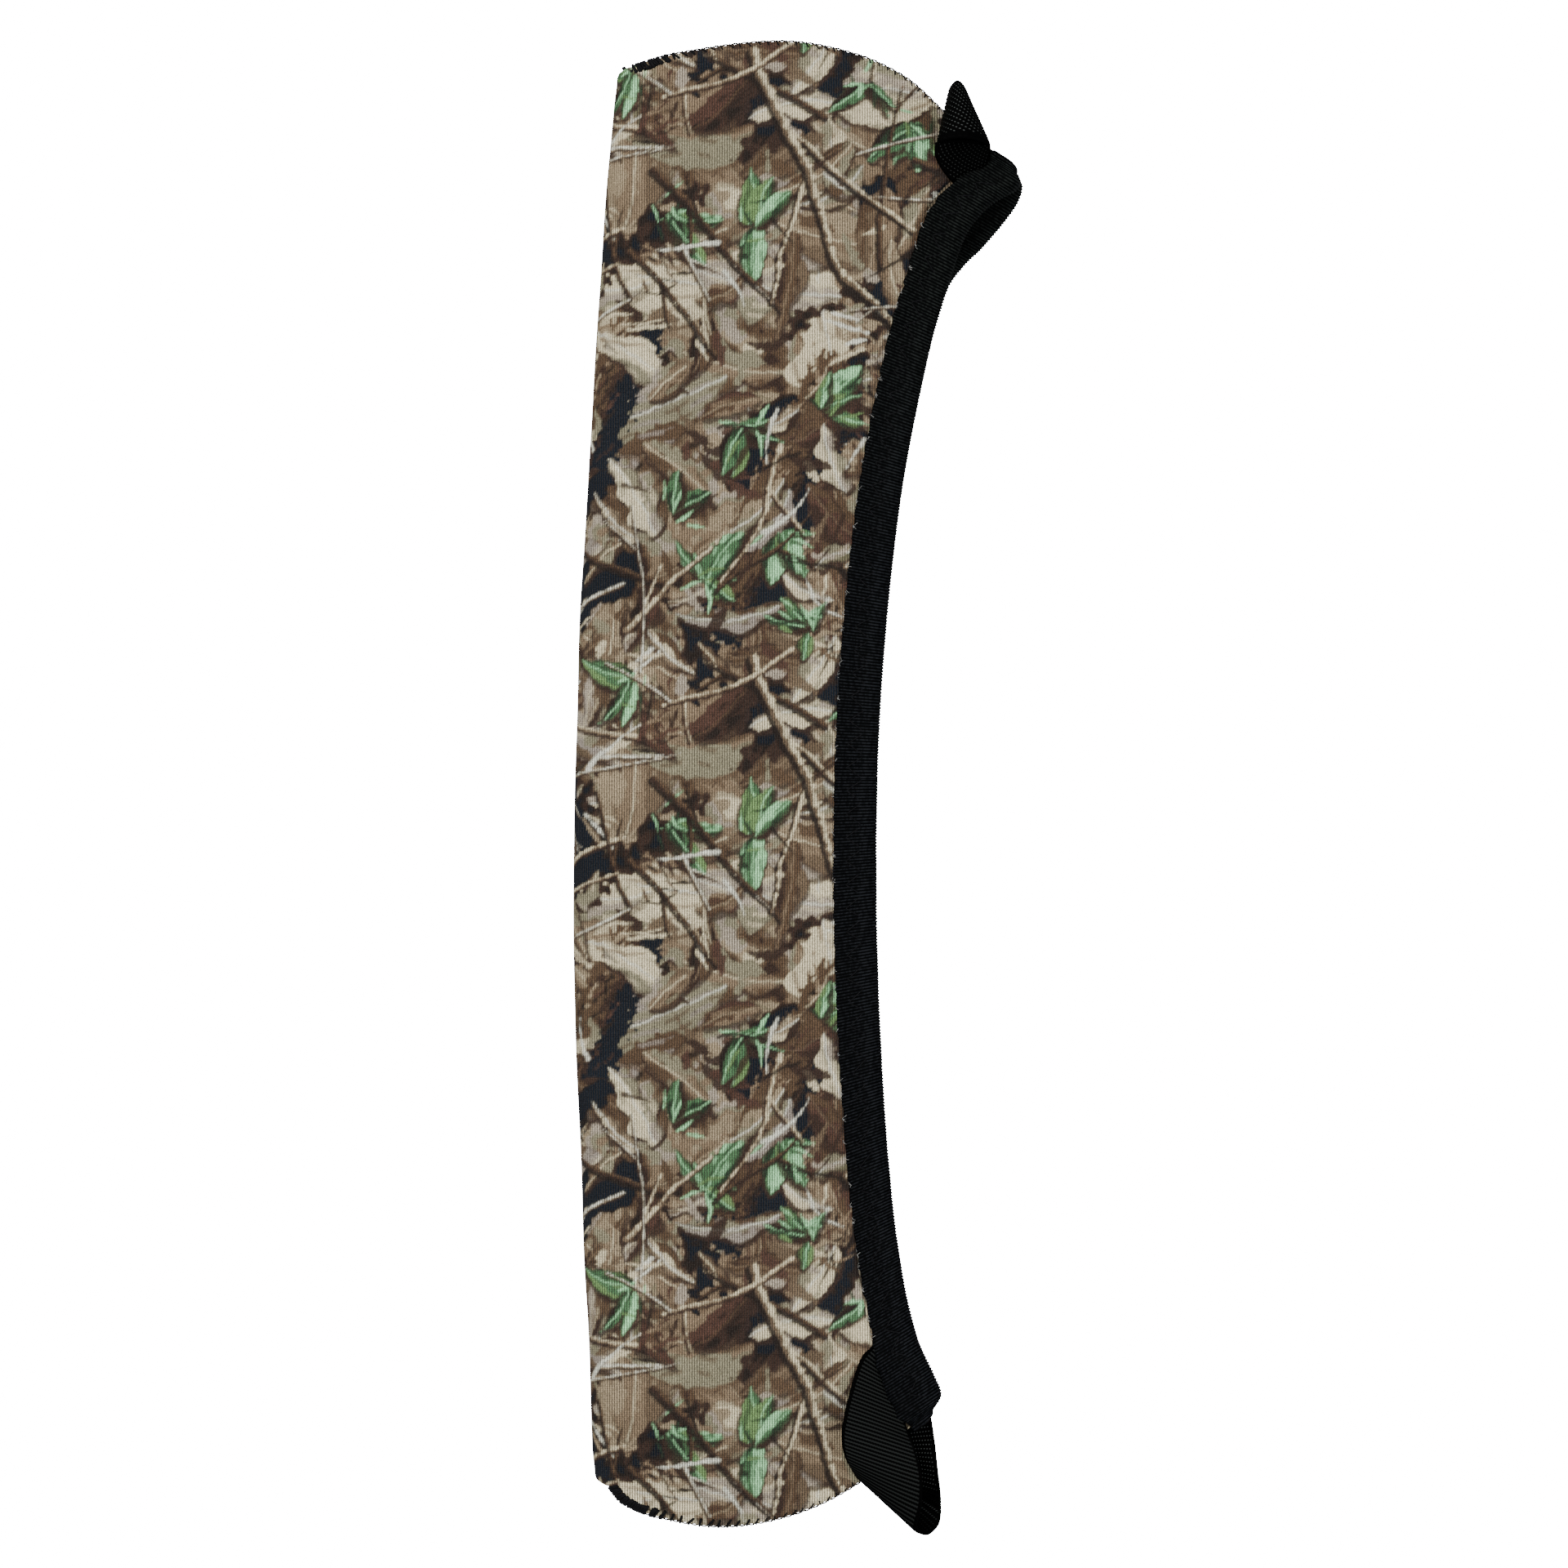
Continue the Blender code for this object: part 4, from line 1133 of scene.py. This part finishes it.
def overlock_piece(name, s_end, look, heavy_to, teeth_to, seed):
    """Overlock stitches over a sewn edge: heavy and close by the fold, then single teeth, then fine bumps."""
    rng = np.random.default_rng(seed)
    stations = np.linspace(SEAM_FROM, SEAM_TO, 400)
    edge = plan("front", s_end, stations)
    reach = np.concatenate([[0.0], np.cumsum(np.linalg.norm(np.diff(edge, axis=0), axis=1))])
    count = int(reach[-1] / OVERLOCK_PITCH)
    paths = []
    for index in range(count):
        share = (index + 0.5) / count
        here = float(np.interp(share * reach[-1], reach, stations))
        heavy = 1.0 - float(ease(np.array((share - heavy_to) / 0.08)))
        for _ in range(1 + int(round(6 * heavy))):
            t = here + rng.uniform(-0.002, 0.002) * (1.0 + 5.0 * heavy)
            slant = rng.uniform(-0.006, 0.006) + 0.006
            tooth = 1.0 - float(ease(np.array((share - teeth_to) / 0.15)))
            bite = mix(mix(0.8, 1.4, tooth), 1.7, heavy) + rng.uniform(-0.2, 0.2)
            paths.append((overlock_loop(s_end, t, slant, bite), mix(mix(0.17, 0.3, tooth), 0.34, heavy)))
    chain = []
    for share in np.linspace(0.0, 1.0, 6 * count + 1):
        t = float(np.interp(share * reach[-1], reach, stations))
        middle = float(height(s_end, t)) / 2.0
        wobble = 0.45 * math.sin(TAU * share * count)
        out = edge_frame(s_end, t, -0.25 - 0.12 * math.cos(TAU * share * count))
        chain.append((out[0], out[1], middle + wobble))
    paths.append((np.array(chain), CHAIN_THREAD))
    if s_end == 0.0:
        corner = edge_frame(0.0, SEAM_FROM, 0.6)
        middle = float(height(0.0, 0.0)) / 2.0
        start = np.array((corner[0], corner[1], middle))
        tail = [start + np.array(step) for step in LOOSE_TAIL]
        paths.append((Path(tail)(np.linspace(0.0, 1.0, 16)), TAIL_THREAD))
    return threads(name, paths, look)


def overlock_loop(s_end, t, slant, bite):
    """One stitch: from the needle hole in the front over the edge to the needle hole in the back."""
    top = float(height(s_end, np.clip(t, 0.0, 1.0)))
    points = []
    for part, inset in ((0.0, bite), (0.12, bite * 0.85), (0.5, bite * 0.5), (0.8, bite * 0.25), (1.0, 0.1)):
        place = edge_frame(s_end, t + slant * (1.0 - part), inset)
        s_here = inset / COVER_LENGTH if s_end < 0.5 else 1.0 - inset / COVER_LENGTH
        sink = -0.3 if part == 0.0 else 0.1
        points.append((place[0], place[1], top - float(end_press(s_here)) + sink))
    out = edge_frame(s_end, t, -0.32)
    points.append((out[0], out[1], top / 2.0 + 1.0))
    points.append((out[0], out[1], top / 2.0 - 1.0))
    for x, y, z in points[4::-1]:
        points.append((x, y, top - z))
    fine = Path(points)
    return fine(np.linspace(0.0, 1.0, 26))


def lint_piece(name, first, last, look, seed):
    """Pale fibres of the cut knit that stand out at the binding's stitches."""
    rng = np.random.default_rng(seed)
    count = int((last - first) * COVER_LENGTH / BAND_PUCKER_PITCH * 1.1)
    paths = []
    for index in range(count):
        s = first + (last - first) * (index + rng.uniform(0.2, 0.8)) / count
        for _ in range(rng.integers(2, 6)):
            here = s + rng.normal(0.0, 0.35) / COVER_LENGTH
            inset = binding_width(here) + float(scallop(here)) + rng.uniform(-0.25, 0.3)
            place, z = binding_frame("front", np.array(here), np.array(inset))
            lean = rng.uniform(-1.0, 1.0, 2) * 0.5
            root = np.array((place[0], place[1], float(z) - 0.35))
            middle = root + np.array((lean[0] * 0.5, lean[1] * 0.5, 0.35))
            tip = middle + np.array((rng.uniform(-0.3, 0.6), lean[1], rng.uniform(-0.1, 0.25)))
            paths.append((Path([root, middle, tip])(np.linspace(0.0, 1.0, 5)), rng.uniform(0.03, 0.06)))
    return threads(name, paths, look, 4)


def fuzz_piece(name, look, seed):
    """Pale cut fibres that stick out where the upper end seam meets the mouth."""
    rng = np.random.default_rng(seed)
    paths = []
    for _ in range(34):
        t = rng.uniform(0.80, 0.90)
        place = edge_frame(0.0, t, rng.uniform(-0.1, 0.4))
        root = np.array((place[0], place[1], float(height(0.0, t)) - rng.uniform(1.2, 2.6)))
        lean = rng.uniform(-0.5, 0.9)
        middle = root + np.array((lean * 0.5, rng.uniform(0.2, 0.5), 0.5))
        tip = middle + np.array((lean * 0.6, rng.uniform(0.2, 0.8), rng.uniform(-0.2, 0.4)))
        paths.append((Path([root, middle, tip])(np.linspace(0.0, 1.0, 5)), rng.uniform(0.03, 0.05)))
    return threads(name, paths, look, 4)


# ---------------------------------------------------------------- the webbing loops
WEBBING = 1.3
WEFT = 0.94                 # pitch of the weave's ribs, and of the beads along a rib
WARP = 0.70
WEAVE_HEIGHT = 0.18
SELVEDGE = 0.5              # width of its plain edge, and of the change to the weave
SELVEDGE_FADE = 0.4
EDGE_ROUND = 0.5
STEP_ALONG = 0.17           # vertex spacing
STEP_ACROSS = 0.16
# Left and right edge of the strap, from station to station along it.
LOWER_STATIONS = [
    ((18.6, -127.8, 12.2), (22.4, -131.0, 11.4)),
    ((15.2, -131.2, 13.7), (20.4, -134.8, 11.8)),
    ((13.3, -135.6, 14.1), (22.3, -139.6, 11.4)),
    ((12.0, -140.2, 14.4), (24.2, -144.4, 10.9)),
    ((10.9, -144.8, 14.6), (25.8, -149.6, 11.0)),
    ((10.2, -149.6, 14.5), (27.6, -154.4, 11.8)),
    ((10.7, -153.8, 13.4), (28.8, -159.6, 11.6)),
    ((12.3, -157.3, 10.6), (28.8, -165.8, 9.8)),
    ((14.4, -159.8, 6.8), (27.8, -171.9, 7.0)),
    ((17.0, -161.6, 3.6), (30.4, -173.4, 4.2)),
    ((20.2, -162.4, 1.9), (33.0, -170.9, 2.2)),
    ((22.6, -161.6, 1.4), (33.4, -165.2, 3.0)),
    ((24.0, -159.2, 1.4), (32.7, -158.8, 4.4)),
    ((24.2, -154.4, 3.2), (31.9, -151.4, 5.2)),
    ((24.0, -148.4, 5.0), (31.0, -145.4, 5.3)),
    ((24.4, -143.4, 5.1), (29.9, -139.6, 5.3)),
]
UPPER_ROOT = [
    ((39.4, 136.4, 11.2), (46.8, 142.4, 10.2)),
    ((36.6, 139.4, 11.7), (45.2, 145.0, 10.2)),
    ((33.8, 142.6, 12.2), (44.8, 147.4, 10.6)),
    ((31.9, 146.2, 12.6), (44.6, 149.4, 11.2)),
    ((31.9, 149.4, 12.8), (43.4, 151.2, 12.2)),
]
LOOP_SLANT = math.radians(8.0)      # how far the weave is turned on the strap
LEG_SLANT = math.radians(65.0)
RING_SLANT = math.radians(-50.0)
# The ring's lower edge has a wider plain hem, whose low relief shows near black: partly a real hem, partly
# painted shade for the ring's shadowed inside.
RING_HEM_SHADE = 0.9
LEG_SHEEN = 1.0                     # painted sheen: how bright the yarn's painted highlights are on each stretch
RING_SHEEN = 3.4
BACK_LEG_SHEEN = 3.2
FRONT_LEG_SHEEN = 0.66
LOOP_OPENING_Y = -165.4             # where the lower loop's opening gets painted shade
LOOP_OPENING_HALF = 2.9
# The ring's two edges are arched ellipses.
RING_LOW = {"centre": (38.45, 148.7, 18.2), "across": (6.4, -0.3, 0.0), "deep": (0.0, 0.4, 3.0), "arch": 0.9}
RING_HIGH = {"centre": (37.0, 161.9, 9.4), "across": (2.1, 0.0, 0.0), "deep": (0.0, 0.3, 5.6), "arch": 1.5}


def weave(along, across):
    """Relief of the webbing, 0 to 1: weft ribs broken into beads by the warp."""
    rib = along / WEFT
    parity = np.floor(rib) % 2
    bar = 0.5 - 0.5 * np.cos(TAU * rib)
    bead = 0.5 - 0.5 * np.cos(TAU * (across / WARP + 0.5 * parity))
    return bar**1.4 * (0.45 + 0.55 * bead)


def webbing_grids(left, right, normals, along, slant, hem):
    """A webbing strip's top and bottom points between its edges, and where they are in its weave."""
    width = np.linalg.norm(right - left, axis=-1)
    count = multiple(float(width.max()) / STEP_ACROSS, 2)
    across = np.linspace(0.0, 1.0, count + 1)
    centre = mix(left[:, None], right[:, None], across[None, :, None])
    span = across[None, :] * width[:, None]
    cos, sin = math.cos(slant), math.sin(slant)
    woven = weave(along[:, None] * cos + span * sin, span * cos - along[:, None] * sin)
    selvedge = 0.28 + 0.18 * np.cos(TAU * along[:, None] / WEFT)
    inside = ease((np.minimum(span - hem, width[:, None] - span) - SELVEDGE) / SELVEDGE_FADE)
    relief = mix(selvedge, woven, inside)
    relief_under = mix(selvedge, 1.0 - woven, inside)
    from_edge = np.minimum(across, 1.0 - across) * float(width.mean())
    rounding = np.sqrt(np.clip(from_edge / EDGE_ROUND, 0.04, 1.0))
    half = (WEBBING / 2.0 - WEAVE_HEIGHT) * rounding[None, :]
    over = centre + normals[:, None] * (half + WEAVE_HEIGHT * relief)[..., None]
    under = centre - normals[:, None] * (half + WEAVE_HEIGHT * relief_under)[..., None]
    flats = np.stack([along[:, None] + 0.0 * span, span, relief], -1)
    flats_under = np.stack([along[:, None] + 0.0 * span, span, relief_under], -1)
    return over, under, flats, flats_under


def webbing_strip(name, left, right, look, slant, hem, shade):
    """A strip of webbing between two edge lines of points. shade gives the painted sheen and shade of its
    yarn along it.
    """
    middle = (left + right) / 2.0
    steps = np.linalg.norm(np.diff(middle, axis=0), axis=-1)
    along = np.concatenate([[0.0], np.cumsum(steps)])
    ahead = np.gradient(middle, axis=0)
    normals = np.cross(right - left, ahead)
    normals /= np.linalg.norm(normals, axis=-1)[:, None]
    over, under, flats, flats_under = webbing_grids(left, right, normals, along, slant, hem)
    piece = closed_sheet(name, over, under, (1, 1), look, 80.0)
    vector_attribute(piece, "weave", both_faces(flats, flats_under))
    sheen = np.repeat(shade(along / along[-1], right), over.shape[1])[:, None] * np.ones(3)
    vector_attribute(piece, "shade", both_faces(sheen, sheen))
    middle_grid = mix(left[:, None], right[:, None], np.linspace(0, 1, 9)[None, :, None])
    keep_flat_size(piece, np.linalg.norm(right - left, axis=-1).max(), along[-1], middle_grid)
    return piece


def webbing_through(name, stations, look, slant, shade):
    """Webbing through pairs of edge points."""
    left = Path([station[0] for station in stations])
    right = Path([station[1] for station in stations])
    count = int(max(left.length, right.length) / STEP_ALONG)
    u = np.linspace(0.0, 1.0, count + 1)
    return webbing_strip(name, left(u), right(u), look, slant, 0.0, shade)


def lower_loop_shade(share, edge):
    """The painted sheen of the lower loop: faint on its front leg, none in its opening, which gets painted
    shade, strong on its back leg.
    """
    back = ease((share - 0.62) / 0.06)
    opening = np.exp(-((edge[:, 1] - LOOP_OPENING_Y) / LOOP_OPENING_HALF) ** 4) * back
    return mix(FRONT_LEG_SHEEN, BACK_LEG_SHEEN, back) * (1.0 - opening)


def even_shade(sheen):
    """A painted sheen that is the same all along."""
    return lambda share, edge: sheen + 0.0 * share


def ring_edge(edge, angle, inset):
    """Points of one of the ring's edges, set in by half of the webbing's thickness."""
    across = np.array(edge["across"])
    deep = np.array(edge["deep"])
    across = across * (1.0 - inset / np.linalg.norm(across))
    deep = deep * (1.0 - inset / np.linalg.norm(deep))
    up = np.array((0.0, edge["arch"], 0.0))
    swing = np.cos(angle)[:, None] * across + np.sin(angle)[:, None] * deep
    return np.array(edge["centre"]) + swing + np.sin(angle)[:, None] ** 2 * up


def webbing_ring(name, look):
    """The upper loop's ring of webbing, narrower at its upper edge. It starts and ends on its underside."""
    angle = -math.pi / 2.0 + np.linspace(0.0, TAU * 0.999, 240)
    half = WEBBING / 2.0
    low = ring_edge(RING_LOW, angle, half)
    high = ring_edge(RING_HIGH, angle, half)
    return webbing_strip(name, low, high, look, RING_SLANT, RING_HEM_SHADE, even_shade(RING_SHEEN))


# ---------------------------------------------------------------- assembly
# The front's halves: name, first and last share of the length, and where each starts to open.
HALVES = (("upper", 0.0, SPLIT, 140.0), ("lower", SPLIT, 1.0, -142.0))
MIDDLE_Y = float(plan("front", SPLIT, 0.5)[1])
CAD_PLIES = {"face": "face_fabric", "foam": "foam_core", "lining": "lining"}
SLOTS = {"face": "camo_face", "foam": "foam", "lining": "lining"}
# The end seams: name, share s, how far along the edge the heavy stitches and the teeth reach, and seed.
SEAMS = (("upper", 0.0, 0.04, 0.06, 3), ("lower", 1.0, 0.12, 0.34, 4))

TABLE_HALF = 6.0            # metres from here on
TABLE_GAP = 0.0006          # the table lies this far below the cover
TABLE_GLOW = 20.0
LENS = 240.0
SENSOR = 36.0
CAMERA_PLACE = (-0.0031, 0.00095, 2.432)


def stands_for(nodes):
    if nodes:
        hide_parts(*nodes)


def on_cover(piece, slot, *nodes):
    """A piece that stays with the cover."""
    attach(piece, "cover")
    stands_for(nodes)


def bend_with_flap(piece, start_y, slot, *nodes):
    """A piece of the front, its transform baked into its points. It hides the CAD nodes that it stands for.
    """
    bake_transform(piece)
    stands_for(nodes)


def build_laminate(looks, dye):
    for ply, cad in CAD_PLIES.items():
        spacing = CLOTH_STEP if ply == "face" else INNER_STEP
        back_spacing = spacing * BACK_STEP if ply == "face" else spacing
        back = ply_piece(f"cover_back_{ply}", "back", ply, 0.0, 1.0, looks[ply], dye, back_spacing)
        on_cover(back, SLOTS[ply], f"back_{cad}")
        for half, first, last, start_y in HALVES:
            front = ply_piece(f"cover_{half}_front_{ply}", "front", ply, first, last, looks[ply], dye,
                              spacing)
            bend_with_flap(front, start_y, SLOTS[ply], f"front_{half}_end_{cad}", f"fold_{cad}",
                           f"front_{cad}")


def build_bindings(looks):
    back = binding_piece("edge_binding_back", "back", 0.004, 0.996, looks["elastic"])
    on_cover(back, "elastic", "back_binding")
    back_thread = zigzag_piece("binding_zigzag_back", "back", 0.012, 0.985, looks["thread"])
    on_cover(back_thread, "thread")
    for half, first, last, start_y in HALVES:
        front = binding_piece(f"edge_binding_{half}_front", "front", first, last, looks["elastic"])
        bend_with_flap(front, start_y, "elastic", "front_binding", f"front_{half}_end_binding")
        zigzag = zigzag_piece(f"binding_zigzag_{half}_front", "front", max(first, 0.02), min(last, 0.98),
                              looks["thread"])
        bend_with_flap(zigzag, start_y, "thread", "front_binding_stitching", f"{half}_end_stitching")
        lint = lint_piece(f"knit_lint_{half}", max(first, 0.055), min(last, 0.925), looks["lint"], 5)
        bend_with_flap(lint, start_y, "thread")


def build_seams(looks):
    for half, s_end, heavy_to, teeth_to, seed in SEAMS:
        seam = overlock_piece(f"overlock_{half}_end", s_end, looks["thread"], heavy_to, teeth_to, seed)
        on_cover(seam, "thread", f"{half}_end_seam")
    on_cover(fuzz_piece("seam_fuzz_upper", looks["lint"], 9), "thread")


def build_loops(looks):
    look = looks["webbing"]
    lower = webbing_through("webbing_loop_lower", LOWER_STATIONS, look, LOOP_SLANT, lower_loop_shade)
    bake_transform(lower)
    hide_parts("lower_loop_root", "lower_pull_loop")
    root = webbing_through("webbing_leg_upper", UPPER_ROOT, look, LEG_SLANT, even_shade(LEG_SHEEN))
    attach(root, "cover")
    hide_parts("upper_loop_root")
    ring = webbing_ring("webbing_loop_upper", look)
    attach(ring, "upper_loop")
    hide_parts("upper_pull_loop")


def stage_material():
    look = Look("white_table", (0.9, 0.9, 0.9), 0.6)
    look.shader.inputs["Emission Color"].default_value = (1.0, 1.0, 1.0, 1.0)
    look.shader.inputs["Emission Strength"].default_value = TABLE_GLOW
    return look.material


def build_stage():
    half = TABLE_HALF
    corners = [(-half, -half, 0), (half, -half, 0), (half, half, 0), (-half, half, 0)]
    mesh = bpy.data.meshes.new("table")
    mesh.from_pydata(corners, [], [(0, 1, 2, 3)])
    mesh.materials.append(stage_material())
    floor = bpy.data.objects.new("table", mesh)
    floor.location.z = -TABLE_GAP
    floor.visible_diffuse = False
    floor.visible_glossy = False
    bpy.context.collection.objects.link(floor)


def area_light(name, place, size, power, colour):
    light = bpy.data.lights.new(name, "AREA")
    light.shape = "DISK"
    light.size = size
    light.energy = power
    light.color = colour
    lamp = bpy.data.objects.new(name, light)
    lamp.location = place
    lamp.rotation_mode = "QUATERNION"
    lamp.rotation_quaternion = Vector(place).to_track_quat("Z", "Y")
    bpy.context.collection.objects.link(lamp)


def build_light():
    area_light("key_softbox", (-0.9, 0.7, 1.5), 1.1, 37.0, (1.0, 0.99, 0.97))
    area_light("fill_softbox", (1.1, -0.6, 1.4), 1.4, 17.0, (0.97, 0.98, 1.0))
    world = bpy.data.worlds.new("studio")
    world.use_nodes = True
    background = world.node_tree.nodes["Background"]
    background.inputs["Color"].default_value = (0.93, 0.95, 0.98, 1.0)
    background.inputs["Strength"].default_value = 0.69
    bpy.context.scene.world = world


def build_camera():
    view = bpy.data.cameras.new("camera")
    view.lens = LENS
    view.sensor_width = SENSOR
    camera = bpy.data.objects.new("camera", view)
    camera.location = CAMERA_PLACE
    bpy.context.collection.objects.link(camera)
    bpy.context.scene.camera = camera


def build():
    dye = paint()
    looks = {
        "face": camo_look(), "foam": foam_look(), "lining": lining_look(), "elastic": elastic_look(),
        "webbing": webbing_look(), "thread": thread_look("black_thread", (0.004, 0.004, 0.005), 0.6),
        "lint": thread_look("knit_lint", (0.34, 0.34, 0.32), 0.9),
    }
    build_laminate(looks, dye)
    build_bindings(looks)
    build_seams(looks)
    build_loops(looks)
    build_stage()
    build_light()
    build_camera()


build()
